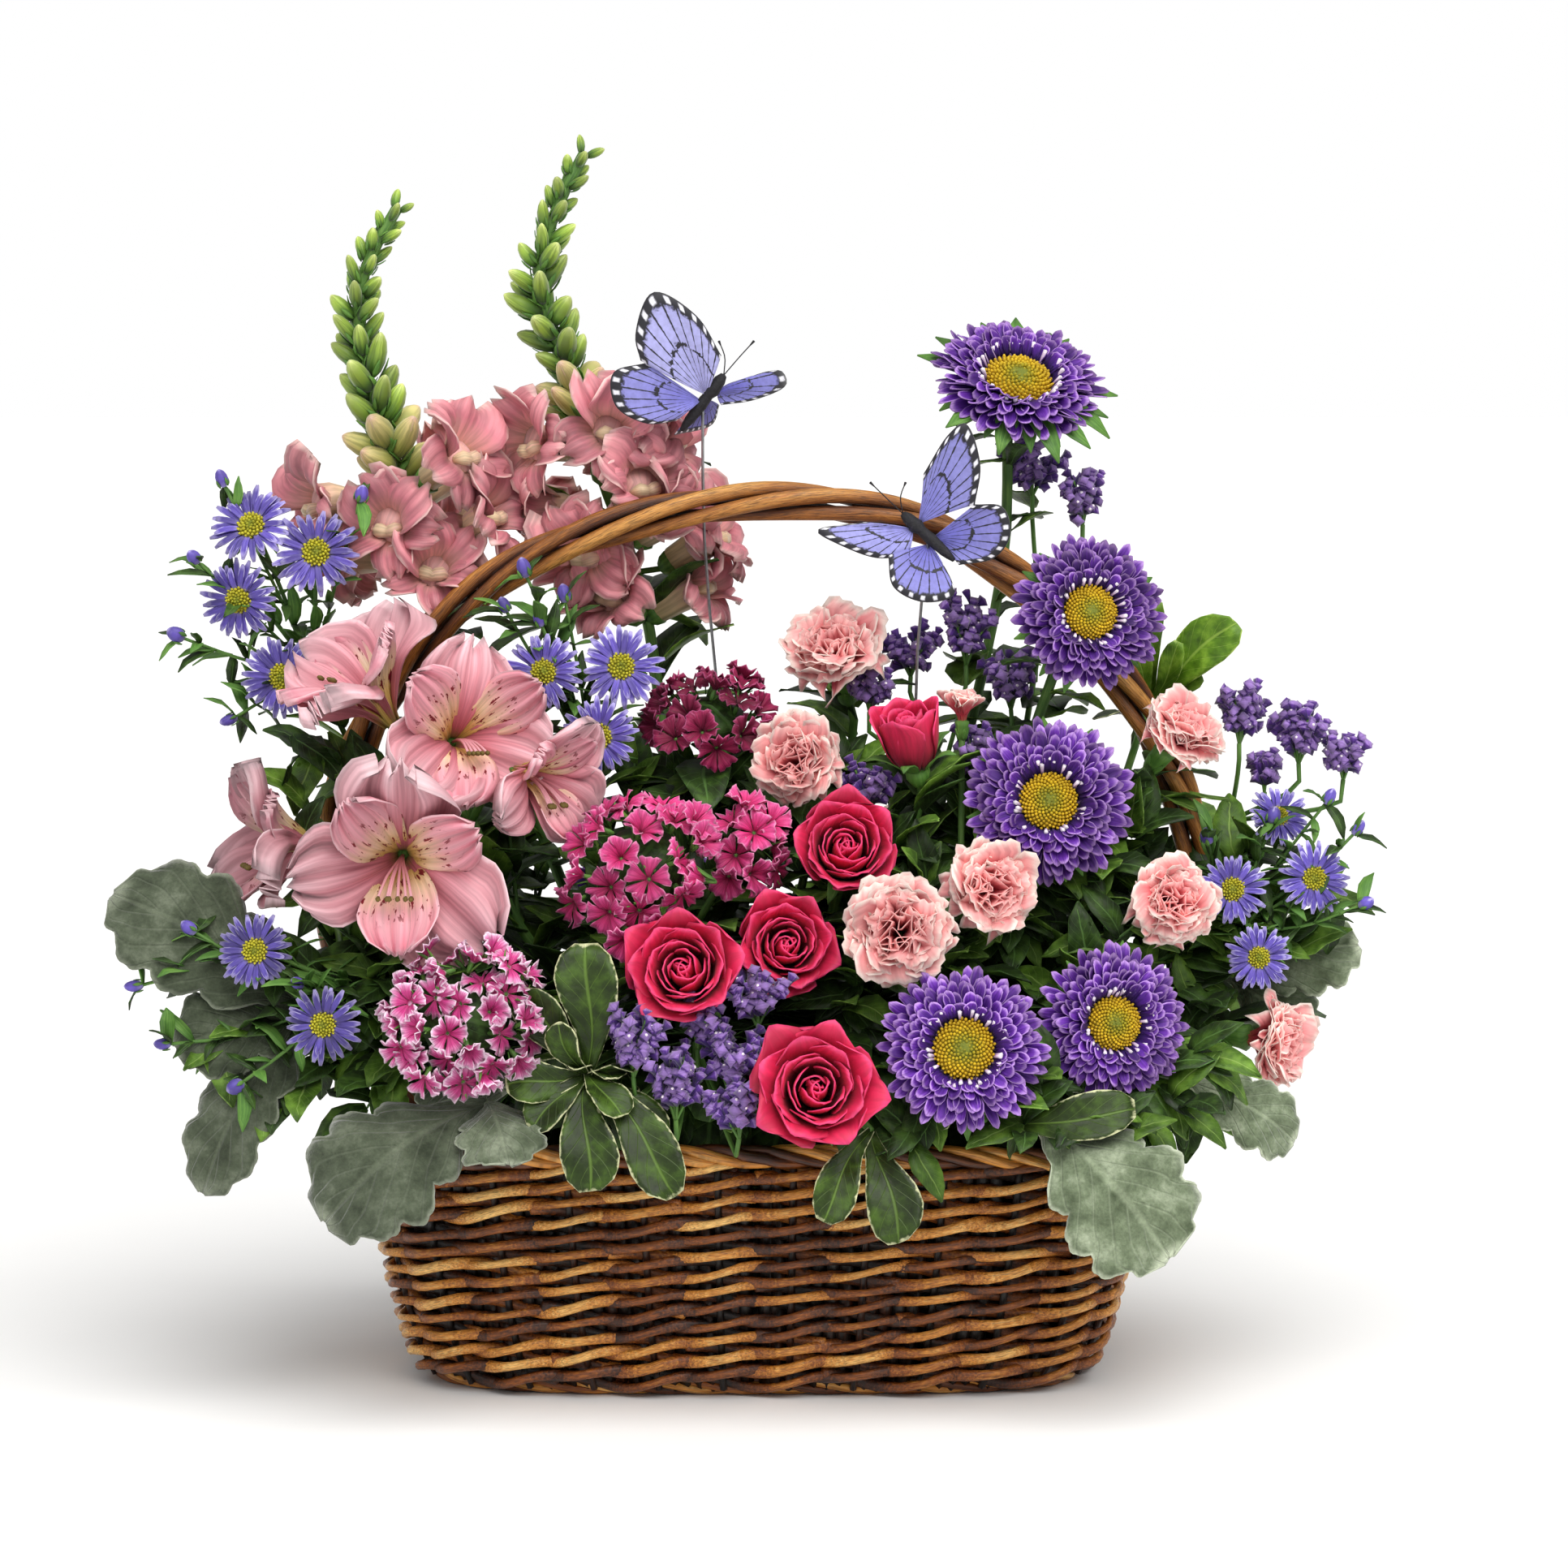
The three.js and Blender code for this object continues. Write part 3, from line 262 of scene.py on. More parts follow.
def build_light():
    """White surroundings: bright as a background, weaker as a light."""
    world = bpy.data.worlds.new("studio")
    bpy.context.scene.world = world
    world.use_nodes = True
    tree = world.node_tree
    back = tree.nodes["Background"]
    path = tree.nodes.new("ShaderNodeLightPath")
    strength = tree.nodes.new("ShaderNodeMapRange")
    strength.inputs["To Min"].default_value = 0.4
    strength.inputs["To Max"].default_value = 1.0
    tree.links.new(path.outputs["Is Camera Ray"], strength.inputs["Value"])
    tree.links.new(strength.outputs["Result"], back.inputs["Strength"])
    back.inputs["Color"].default_value = (1, 1, 1, 1)
    sun("key", 3.0, 60, 33, 26, (1, 0.985, 0.96))
    sun("fill", 0.5, 80, 55, -45)
    bpy.context.scene.view_settings.view_transform = "Standard"


# ---------------------------------------------------------------- materials


def paint(code):
    """An sRGB colour code as linear red, green, blue and alpha."""
    channels = [int(code[i : i + 2], 16) / 255 for i in (0, 2, 4)]
    return [c / 12.92 if c <= 0.04045 else ((c + 0.055) / 1.055) ** 2.4 for c in channels] + [1]


class Value:
    """What a shader node gives out. Arithmetic on it adds the math node that works it out."""

    def __init__(self, look, socket):
        self.look = look
        self.socket = socket

    def __add__(self, other):
        return self.look.math("ADD", self, other)

    def __sub__(self, other):
        return self.look.math("SUBTRACT", self, other)

    def __mul__(self, other):
        return self.look.math("MULTIPLY", self, other)

    def __abs__(self):
        return self.look.math("ABSOLUTE", self)

    def over(self, other):
        """The larger of the two."""
        return self.look.math("MAXIMUM", self, other)

    def fold(self):
        """0 halfway between two whole numbers, 0.5 at each of them."""
        return abs(self.look.math("FRACT", self) - 0.5)

    def fade(self, start, end, low=0.0, high=1.0):
        """From low where this is start to high where it is end, smoothly."""
        inputs = [self, start, end, low, high]
        return self.look.node("ShaderNodeMapRange", inputs, interpolation_type="SMOOTHSTEP")

    def ramp(self, stops):
        """Colours, each at its position."""
        made = self.look.node("ShaderNodeValToRGB", [self])
        elements = made.socket.node.color_ramp.elements
        while len(elements) < len(stops):
            elements.new(0.5)
        for element, (position, code) in zip(elements, stops):
            element.position = position
            element.color = paint(code)
        return made

    def mix(self, factor, code):
        """This colour where factor is 0, and the coded one where it is 1."""
        return self.look.node("ShaderNodeMix", {0: factor, 6: self, 7: paint(code)}, 2, data_type="RGBA")

    def shade(self, factor):
        """This colour made lighter or darker."""
        return self.look.node("ShaderNodeHueSaturation", {"Color": self, "Value": factor})


class Look:
    """A material: one Principled shader, and helpers that add the nodes that drive it.

    along, across and tone are the three numbers that each point of a mesh carries: where it lies along its
    petal, leaf or rod, where it lies across it, and a number that is random for each of them, onto which some
    pieces add painted light and shade. side is how far a point is from the middle line.
    """

    def __init__(self, name, **fixed):
        self.material = bpy.data.materials.new(name)
        self.material.use_nodes = True
        self.tree = self.material.node_tree
        self.shader = self.tree.nodes["Principled BSDF"]
        for socket, value in fixed.items():
            self.shader.inputs[socket.replace("_", " ")].default_value = value
        carried = self.node("ShaderNodeAttribute", output="Vector", attribute_name="look")
        parts = self.node("ShaderNodeSeparateXYZ", [carried]).socket.node
        self.along, self.across, self.tone = (Value(self, socket) for socket in parts.outputs)
        self.side = abs(self.across)
        self.place = self.node("ShaderNodeTexCoord", output="Object")

    def node(self, kind, inputs=(), output=0, **settings):
        """One output of a new node."""
        made = self.tree.nodes.new(kind)
        for key, value in settings.items():
            setattr(made, key, value)
        for socket, value in inputs.items() if isinstance(inputs, dict) else enumerate(inputs):
            self.feed(made.inputs[socket], value)
        return Value(self, made.outputs[output])

    def feed(self, socket, value):
        if isinstance(value, Value):
            self.tree.links.new(value.socket, socket)
        else:
            socket.default_value = value

    def math(self, operation, *values):
        return self.node("ShaderNodeMath", values, operation=operation)

    def vector(self, *values):
        return self.node("ShaderNodeCombineXYZ", values)

    def noise(self, scale, detail=3.0, roughness=0.55, place=None):
        inputs = {"Vector": place or self.place, "Scale": scale, "Detail": detail, "Roughness": roughness}
        return self.node("ShaderNodeTexNoise", inputs)

    def streaks(self, lines, length=1.5, detail=2.0):
        """Noise drawn out along the petal or rod: lines is how many streaks there are across it."""
        place = self.vector(self.along * length, self.across * lines, self.tone * 37.0)
        return self.noise(1.0, detail, place=place)

    def finish(self, color, roughness, height, strength, distance):
        """The material, with its colour, its roughness and the relief of its surface."""
        relief = self.node("ShaderNodeBump", {"Height": height, "Strength": strength, "Distance": distance})
        for name, value in (("Base Color", color), ("Roughness", roughness), ("Normal", relief)):
            self.feed(self.shader.inputs[name], value)
        return self.material


def petal_look(name, stops, edge, edge_start, *, veins, spread, depth=0.3, gloss=0.55, dashes=None,
               drift=0.25, **fixed):
    """Petals: colours from base to tip, a margin, streaked veins, dashes, and for each petal its own tone."""
    look = Look(name, **{"Sheen_Weight": 0.25, "Sheen_Roughness": 0.5, **fixed})
    streak = look.streaks(veins)
    cloud = look.noise(260.0, 4.0)
    color = (look.along + (streak - 0.5) * drift).ramp(stops)
    rim = (look.side * look.along.fade(0.2, 0.7)).over(look.along) + (cloud - 0.5) * 0.12
    color = color.mix(rim.fade(edge_start, 1.0), edge)
    if dashes:
        spots = look.noise(1.0, place=look.vector(look.along * 9, look.across * 7, 3.0))
        throat = look.along.fade(0.25, 0.35) * look.along.fade(0.85, 0.7)
        color = color.mix(spots.fade(0.58, 0.62) * throat, dashes)
    # depth darkens each petal where its streaks are low: vein colour, and painted shade in its folds
    tone = (look.tone * (spread * 2) + (1 - spread)) * streak.fade(0.3, 0.7, 1 - depth, 1.08)
    return look.finish(color.shade(tone), cloud * 0.3 + (gloss - 0.15), streak, 0.35, 0.0006)


def leaf_look(name, stops, margin, margin_start, gloss, vein_code, ribs=9):
    """Leaves: mottled colours, a margin, a pale midrib and side veins that run forward from it."""
    look = Look(name, Sheen_Weight=0.02, Specular_IOR_Level=0.3)
    cloud = look.noise(130.0, 5.0)
    rib = (look.along * ribs - look.side * 2.2).fold().fade(0.06, 0.0, 0.0, 0.5)
    vein = rib.over(look.side.fade(0.09, 0.02))
    edge = look.side.over(look.along.fade(0.75, 1.02)) + (look.noise(300.0) - 0.5) * 0.35
    color = cloud.ramp(stops).mix(vein * 0.55, vein_code)
    color = color.mix(edge.fade(margin_start, margin_start + 0.1), margin).shade(look.tone * 0.6 + 0.72)
    return look.finish(color, cloud * 0.25 + gloss, cloud - vein * 0.6, 0.5, 0.0008)


def willow_look(name, stops, gloss):
    """Varnished willow: grain along the rod, dark cracks and a tone of its own for each rod."""
    look = Look(name, Coat_Weight=0.18, Coat_Roughness=0.22, Specular_IOR_Level=0.4)
    grain = look.streaks(2.5, 0.45, 4.0)
    fine = look.streaks(9.0, 1.6, 3.0)
    color = (look.tone * 0.6 + look.noise(45.0) * 0.4 + (grain - 0.5) * 0.55).ramp(stops)
    color = color.shade(fine.fade(0.3, 0.6, 0.42, 1.14))
    return look.finish(color, fine * 0.35 + (gloss - 0.15), fine + grain * 0.6, 0.6, 0.0007)


def green_look(name, stops):
    """Stems, sepals and buds: ribbed and mottled greens."""
    look = Look(name)
    streak = look.streaks(5.0, 0.8, 3.0)
    cloud = look.noise(110.0)
    color = (streak * 0.6 + cloud * 0.5 - 0.05).ramp(stops).shade(look.tone * 0.5 + 0.75)
    return look.finish(color, cloud * 0.25 + 0.5, streak, 0.5, 0.0004)


def bead_look(name, stops):
    """Discs of many small florets: along runs from the middle of the disc to its edge."""
    look = Look(name)
    cloud = look.noise(900.0, 2.0)
    color = (look.along + (cloud - 0.5) * 0.5).ramp(stops).shade(look.tone * 0.4 + 0.8)
    return look.finish(color, 0.75, cloud, 0.6, 0.0004)


def felt_look():
    """Dusty miller: grey-green felt, pale on its margin and along its veins."""
    look = Look("felt", Sheen_Weight=0.35, Sheen_Roughness=0.4)
    cloud = look.noise(70.0, 5.0, 0.65)
    nap = look.noise(900.0)
    rib = (look.along * 7.0 - look.side * 2.6).fold().fade(0.12, 0.0, 0.0, 0.7)
    vein = rib.over(look.side.fade(0.1, 0.02))
    color = cloud.ramp([(0.3, "38432d"), (0.5, "626e55"), (0.7, "929c84")]).mix(vein * 0.3, "98a488")
    color = color.mix(look.side.over(look.along).fade(0.92, 1.0, 0.0, 0.7), "c2cbb2")
    # painted light and shade: the leaf's tone, set by how far right it reaches, makes it lighter or darker
    color = color.shade(nap.fade(0.3, 0.7, 0.86, 1.08)).shade(look.tone * 0.8 + 0.5)
    return look.finish(color, 0.95, nap * 0.35 - vein * 0.7 + cloud, 0.7, 0.0012)


def wing_look():
    """Butterfly wings. along runs from the root to the margin, across round it and tone picks the shade."""
    look = Look("wing", Sheen_Weight=0.3)
    cloud = look.noise(500.0)
    wander = (cloud - 0.5) * 0.16
    ray = (look.across * 5.0).fold() + wander
    cell = abs(look.along - 0.48) + wander
    border = (look.along + wander).fade(0.84, 0.89)
    dark = ray.fade(0.1, 0.03).over(cell.fade(0.03, 0.01)).over(border)
    spot = ray.fade(0.26, 0.4) * look.along.fade(0.99, 0.96) * look.along.fade(0.89, 0.92)
    color = look.tone.ramp([(0.0, "3a3198"), (0.5, "6866c0"), (1.0, "a6a6de")])
    color = color.mix(look.along.fade(0.1, 0.8) * 0.3, "b4b4e8").mix(dark, "15141f").mix(spot, "f0f0fa")
    color = color.shade(cloud.fade(0.3, 0.7, 0.9, 1.1))
    return look.finish(color, cloud * 0.3 + 0.45, dark, 0.4, 0.0004)


def plain_look(name, stops, scale, roughness, relief, **fixed):
    """Mottled colours and a bump from one noise, for the pieces of which little is seen."""
    look = Look(name, **fixed)
    cloud = look.noise(scale, 5.0, 0.6)
    return look.finish(cloud.ramp(stops), cloud * 0.3 + (roughness - 0.15), cloud, relief, 0.001)


WILLOW = willow_look(
    "willow", [(0.1, "0e0500"), (0.3, "45200a"), (0.5, "8a4a16"), (0.7, "ca8534"), (0.92, "f4c474")], 0.36)
HANDLE_WILLOW = willow_look(
    "handle_willow", [(0.05, "170801"), (0.25, "5a2b0a"), (0.5, "a46526"), (0.78, "d0974c"), (1.0, "ebc080")],
    0.38)
STEM = green_look("stem", [(0.2, "24401a"), (0.5, "4f7a30"), (0.8, "7fa54c")])
SEPAL = green_look("sepal", [(0.2, "26481a"), (0.5, "517f30"), (0.8, "84ae50")])
# the same leaf in two colours: the usual darker one, and a lighter copy of it as painted light
FOLIAGE = leaf_look(
    "foliage", [(0.3, "131f09"), (0.5, "263c12"), (0.7, "446422")], "47702e", 0.97, 0.36, "5f8544")
LIT_FOLIAGE = leaf_look(
    "lit_foliage", [(0.3, "2a420f"), (0.5, "48691c"), (0.7, "6f9434")], "7fa048", 0.97, 0.4, "8fac58")
LEAF = leaf_look(
    "pittosporum", [(0.3, "182406"), (0.5, "2a3d0d"), (0.7, "48651c")], "dcdeae", 0.92, 0.3, "6c8c38", 7)
# the pittosporum leaf painted lighter as painted light, with a greener margin, for the sprig high up on the
# right
LIT_LEAF = leaf_look(
    "lit_leaf", [(0.3, "33500c"), (0.5, "557c18"), (0.7, "86ac34")], "a8c45c", 0.95, 0.3, "9cbc50", 7)
FELT = felt_look()
ROSE = petal_look(
    "rose", [(0.0, "560318"), (0.35, "a00b34"), (0.75, "c91446"), (1.0, "d91c54")], "e83a74", 0.9,
    veins=6, depth=0.14, spread=0.14, gloss=0.6, Sheen_Weight=0.05)
CARNATION = petal_look(
    "carnation", [(0.0, "b07050"), (0.3, "bc2c42"), (0.62, "d85c6a"), (0.84, "ee9c9c"), (1.0, "f6bcb6")],
    "fde6dc", 0.9, veins=9, depth=0.18, spread=0.12, drift=0.16, Sheen_Weight=0.05)
ASTER = petal_look(
    "aster", [(0.0, "1a0840"), (0.3, "2e105e"), (0.7, "4c1c84"), (1.0, "68329c")], "ac84cc", 0.88,
    veins=3, depth=0.3, spread=0.42, Sheen_Weight=0.02, Specular_IOR_Level=0.25)
ASTER_TUBE = petal_look(
    "aster_tube", [(0.0, "8a5fc0"), (0.5, "c9a6dc"), (1.0, "f0dff0")], "fdf2fb", 0.8, veins=2, spread=0.15)
DISC = bead_look("disc", [(0.0, "6c741a"), (0.3, "a3971a"), (0.6, "cfae18"), (1.0, "cba51c")])
SMALL_ASTER = petal_look(
    "small_aster", [(0.0, "a79fda"), (0.3, "6352b4"), (0.8, "5a48aa"), (1.0, "7a68c0")], "b0a6e0", 0.72,
    veins=3, depth=0.3, spread=0.3, Sheen_Weight=0.08)
SMALL_DISC = bead_look("small_disc", [(0.0, "77801c"), (0.5, "b3ad25"), (1.0, "c4bb35")])
WILLIAM_FRONT = petal_look(
    "sweet_william_edged", [(0.0, "f4e6ee"), (0.15, "a8125c"), (0.6, "c83484"), (1.0, "e4a4cc")], "f2d4e6",
    0.86, veins=8, depth=0.3, spread=0.25, Sheen_Weight=0.1)
WILLIAM_MIDDLE = petal_look(
    "sweet_william_bright", [(0.0, "e0a0c0"), (0.14, "980c42"), (0.5, "d22c74"), (1.0, "e2559a")], "ea8eb8",
    0.9, veins=8, depth=0.34, spread=0.32, Sheen_Weight=0.06, Specular_IOR_Level=0.3)
WILLIAM_HIGH = petal_look(
    "sweet_william_dark", [(0.0, "b87890"), (0.1, "560626"), (0.5, "7c103a"), (1.0, "962452")], "b0507c",
    0.93, veins=8, depth=0.35, spread=0.3, Sheen_Weight=0.04, Specular_IOR_Level=0.25)
ALSTROEMERIA = petal_look(
    "alstroemeria", [(0.0, "a89848"), (0.2, "c46c78"), (0.45, "d27c8a"), (0.75, "e2a0aa"), (1.0, "edc0c8")],
    "f2ccd2", 0.93, veins=14, depth=0.24, spread=0.12, gloss=0.45, drift=0.2, Sheen_Weight=0.03)
ALSTROEMERIA_INNER = petal_look(
    "alstroemeria_inner",
    [(0.0, "b8a048"), (0.3, "e0bc6c"), (0.5, "ecccaa"), (0.72, "e2a0a8"), (1.0, "d88496")], "eebcc4", 0.92,
    veins=12, depth=0.2, spread=0.1, gloss=0.45, dashes="7a1222", drift=0.16, Sheen_Weight=0.03)
STATICE = petal_look(
    "statice", [(0.0, "180a44"), (0.5, "3a186c"), (1.0, "5c2e90")], "9270b8", 0.92, veins=4, spread=0.34,
    gloss=0.75)
SNAP_PETAL = petal_look(
    "snapdragon", [(0.0, "e4c898"), (0.25, "dca098"), (0.6, "ca7682"), (1.0, "dc9298")], "efc2be", 0.88,
    veins=6, depth=0.34, spread=0.24, Sheen_Weight=0.06)
SNAP_TUBE = petal_look(
    "snapdragon_tube", [(0.0, "b9a870"), (0.5, "e2c8a0"), (1.0, "dcae98")], "e0a8a4", 0.95, veins=5,
    spread=0.15)
SNAP_BUD = petal_look(
    "snapdragon_bud", [(0.0, "20400a"), (0.3, "527c1c"), (0.6, "98b63e"), (1.0, "d4e084")], "dce898", 0.95,
    veins=5, depth=0.4, spread=0.32, gloss=0.45)
SNAP_TURNING = petal_look(
    "snapdragon_turning", [(0.0, "5c7426"), (0.35, "a8b050"), (0.75, "e0d08c"), (1.0, "e2b89a")], "e6c4a8",
    0.93, veins=5, depth=0.3, spread=0.2)
ANTHER = bead_look("anther", [(0.0, "5c4a1a"), (1.0, "8a7a30")])
WING = wing_look()
INSECT = plain_look("insect_body", [(0.3, "0b0b0e"), (0.6, "1d1c22"), (0.8, "3a3440")], 500.0, 0.7, 0.8)

# ---------------------------------------------------------------- mesh building


def unit(v):
    """A vector made one long, or each vector of an array."""
    v = np.asarray(v, float)
    return v / np.maximum(np.linalg.norm(v, axis=-1, keepdims=True), 1e-9)


def points_of(*places):
    return [np.asarray(place, float) for place in places]


def circle(angle, rise=0.0):
    """The direction at an angle about +Z."""
    return np.array((math.cos(angle), math.sin(angle), rise))


def on_axis(heights):
    return np.array([(0, 0, z) for z in heights])


def aim(face, spin=0.0):
    """A turn that brings +Z to face and keeps +Y as upright as it can, after a spin about +Z."""
    z = unit(face)
    x = unit(np.cross((0, 0, 1) if abs(z[2]) < 0.97 else (0, 1, 0), z))
    y = np.cross(z, x)
    c, s = math.cos(spin), math.sin(spin)
    return np.stack([c * x + s * y, c * y - s * x, z], axis=1)


def lengths_along(path):
    """How far along a path each of its points is."""
    return np.concatenate([[0], np.cumsum(np.linalg.norm(np.diff(path, axis=0), axis=1))])


def catmull(points, count):
    """Evenly spaced points along the centripetal Catmull-Rom curve through points."""
    p = np.asarray(points, float)
    p = np.vstack([2 * p[0] - p[1], p, 2 * p[-1] - p[-2]])
    t = np.linspace(0, 1, 12, endpoint=False)[:, None]
    curve = []
    for a, b, c, d in zip(p, p[1:], p[2:], p[3:]):
        before, here, after = (max(np.linalg.norm(v), 1e-6) ** 0.5 for v in (b - a, c - b, d - c))
        m = ((b - a) / before - (c - a) / (before + here) + (c - b) / here) * here
        n = ((c - b) / here - (d - b) / (here + after) + (d - c) / after) * here
        curve.append(b + m * t + (3 * (c - b) - 2 * m - n) * t**2 + (2 * (b - c) + m + n) * t**3)
    curve = np.vstack(curve + [p[-2:-1]])
    length = lengths_along(curve)
    even = np.linspace(0, length[-1], count)
    return np.stack([np.interp(even, length, curve[:, k]) for k in range(3)], axis=1)


def grid_faces(rows, cols):
    """The faces of a grid of points that is closed round its columns."""
    r = np.arange(rows - 1)[:, None] * cols
    c = np.arange(cols)[None, :]
    n = (c + 1) % cols
    return np.stack([r + c, r + n, r + cols + n, r + cols + c], axis=-1).reshape(-1, 4)


class Build:
    """Collects patches, and turns them into one mesh with several materials."""

    def __init__(self):
        self.points, self.looks, self.materials = [], [], []
        self.faces = {3: [], 4: []}
        self.kinds = {3: [], 4: []}
        self.count = 0
        self.place()

    def place(self, centre=(0, 0, 0), turn=np.eye(3)):
        """Where the patches that follow go."""
        self.shift = np.asarray(centre, float)
        self.turn = turn

    def add(self, points, looks, faces, material):
        if material not in self.materials:
            self.materials.append(material)
        kind = self.materials.index(material)
        self.points.append(points.reshape(-1, 3) @ self.turn.T + self.shift)
        self.looks.append(looks.reshape(-1, 3))
        for block in faces:
            self.faces[block.shape[1]].append(block + self.count)
            self.kinds[block.shape[1]].append(np.full(len(block), kind))
        self.count += len(self.points[-1])

    def sheet(self, grid, material, thick, tone, shown=1.0):
        """A thin closed sheet round a grid of points: rows run along it and columns across it. Shown is how
        far along its colours go."""
        rows, cols = grid.shape[:2]
        normal = unit(np.cross(np.gradient(grid, axis=1), np.gradient(grid, axis=0)))
        half = normal * thick / 2
        ring = np.concatenate([grid + half, (grid - half)[:, ::-1]], axis=1)
        looks = np.empty(ring.shape)
        across = np.linspace(-1, 1, cols)
        looks[..., 0] = np.linspace(0, shown, rows)[:, None]
        looks[..., 1] = np.concatenate([across, across[::-1]])
        looks[..., 2] = tone
        top = np.arange(cols - 1)
        low = 2 * cols - 1 - top
        start = np.stack([top, low, low - 1, top + 1], axis=1)
        end = start[:, ::-1] + (rows - 1) * 2 * cols
        self.add(ring, looks, [grid_faces(rows, 2 * cols), start, end], material)

    def tube(self, path, radius, material, sides, tone, reach=None, pleat=0.0, core=None):
        """A round rod along a path, with a rounded cap at each end. Reach is what along runs over, pleat
        makes its section a star, and the tone falls towards core, the middle of a bundle of rods, as painted
        shade in the crevices between them."""
        path = np.asarray(path, float)
        rows = len(path)
        radius = np.broadcast_to(radius, rows)
        tangent = unit(np.gradient(path, axis=0))
        side = unit(np.cross(tangent[0], (0.3, 0.9, 0.2) if abs(tangent[0][1]) < 0.8 else (1, 0.1, 0)))
        sides_at = np.empty((rows, 3))
        for i, t in enumerate(tangent):
            side = unit(side - t * side.dot(t))
            sides_at[i] = side
        other = np.cross(tangent, sides_at)
        j = np.arange(sides)
        turn = (2 * np.pi * j / sides)[:, None]
        swell = radius[:, None, None] * (1 + pleat * np.cos(j * np.pi))[:, None]
        ring = path[:, None] + swell * (np.cos(turn) * sides_at[:, None] + np.sin(turn) * other[:, None])
        caps = path[[0, -1]] + np.stack([-tangent[0] * radius[0], tangent[-1] * radius[-1]]) * 0.4
        points = np.vstack([ring.reshape(-1, 3), caps])
        low, high = reach or (0, lengths_along(path)[-1] / 10)
        looks = np.empty((len(points), 3))
        looks[:-2, 0] = np.repeat(np.linspace(low, high, rows), sides)
        looks[:-2, 1] = np.tile(np.abs(turn[:, 0] / np.pi - 1) * 2 - 1, rows)
        looks[-2:, :2] = ((low, 0), (high, 0))
        tones = np.broadcast_to(np.reshape(tone, (-1, 1)), (rows, sides))
        # painted shade: the tone falls towards core, darkest in the crevices where the rods of a bundle touch
        if core is not None:
            away = np.linalg.norm(ring - core[:, None], axis=2)
            tones = tones - 0.9 * ((away.max() - away) / np.ptp(away)) ** 0.8
        looks[:, 2] = np.append(tones.ravel(), (tones[0, 0], tones[-1, 0]))
        k = (j + 1) % sides
        first = np.stack([np.full(sides, len(points) - 2), k, j], axis=1)
        top = (rows - 1) * sides
        last = np.stack([np.full(sides, len(points) - 1), top + j, top + k], axis=1)
        self.add(points, looks, [grid_faces(rows, sides), first, last], material)

    def mesh(self, name):
        mesh = bpy.data.meshes.new(name)
        faces = [np.concatenate(self.faces[k]) for k in (3, 4) if self.faces[k]]
        kinds = np.concatenate([np.concatenate(self.kinds[k]) for k in (3, 4) if self.kinds[k]])
        sizes = np.concatenate([np.full(len(f), f.shape[1]) for f in faces])
        corners = np.concatenate([f.ravel() for f in faces])
        points = np.concatenate(self.points) / 1000
        mesh.vertices.add(len(points))
        mesh.vertices.foreach_set("co", points.ravel())
        mesh.loops.add(len(corners))
        mesh.loops.foreach_set("vertex_index", corners.astype(np.int32))
        mesh.polygons.add(len(sizes))
        mesh.polygons.foreach_set("loop_start", (np.cumsum(sizes) - sizes).astype(np.int32))
        mesh.polygons.foreach_set("material_index", kinds.astype(np.int32))
        mesh.polygons.foreach_set("use_smooth", np.ones(len(sizes), bool))
        looks = mesh.attributes.new("look", "FLOAT_VECTOR", "POINT")
        looks.data.foreach_set("vector", np.concatenate(self.looks).ravel())
        mesh.update(calc_edges=True)
        for material in self.materials:
            mesh.materials.append(material)
        return mesh


def piece(build, node, suffix):
    """The piece that takes the place of a CAD node."""
    made = add_object(f"{node}_{suffix}", build.mesh(node))
    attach(made, "root")
    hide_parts(node)


def seeded(name):
    """A random generator of its own for each piece, the same on every run."""
    return np.random.default_rng(sum(ord(c) * (i + 7) for i, c in enumerate(name)))


# ---------------------------------------------------------------- petals

# half widths of petals and leaves, for shares of their length
ROUND = [(0, 0.3), (0.25, 0.62), (0.55, 0.95), (0.75, 1.0), (0.92, 0.78), (1, 0.5)]
SPOON = [(0, 0.16), (0.3, 0.45), (0.6, 0.9), (0.78, 1.0), (0.93, 0.75), (1, 0.35)]
STRAP = [(0, 0.55), (0.3, 0.85), (0.7, 1.0), (0.9, 0.8), (1, 0.4)]
RAY = [(0, 0.4), (0.35, 0.75), (0.75, 1.0), (0.93, 1.0), (1, 0.72)]
FAN = [(0, 0.1), (0.35, 0.25), (0.7, 0.75), (0.9, 1.0), (1, 0.97)]
BLADE = [(0, 0.3), (0.2, 0.8), (0.45, 1.0), (0.75, 0.7), (0.93, 0.3), (1, 0.05)]

GOLDEN = math.radians(137.508)  # from one petal or leaf to the next
FIFTH, QUARTER = 1.257, 1.571  # of a turn


def scaled(width, half):
    return [(share, w * half) for share, w in width]


def patch(rows, cols):
    """How far along and how far across a petal or leaf its points are."""
    return np.linspace(0, 1, rows)[:, None], np.linspace(-1, 1, cols)[None, :]


def swept(length, lean):
    """How far out and how far forward a petal reaches along its length. Lean is the petal's angle from the
    bloom's axis at its base, middle and tip, in degrees."""
    steps = 40
    base, middle, tip = np.radians(lean)
    t = np.linspace(0, 1, steps)
    bend = 4 * middle - base - tip
    angle = base * (1 - t) ** 2 + bend * t * (1 - t) + tip * t**2
    out, rise = (
        np.concatenate([[0], np.cumsum((way[1:] + way[:-1]) / 2)]) * length / (steps - 1)
        for way in (np.sin(angle), np.cos(angle)))
    return t, out, rise


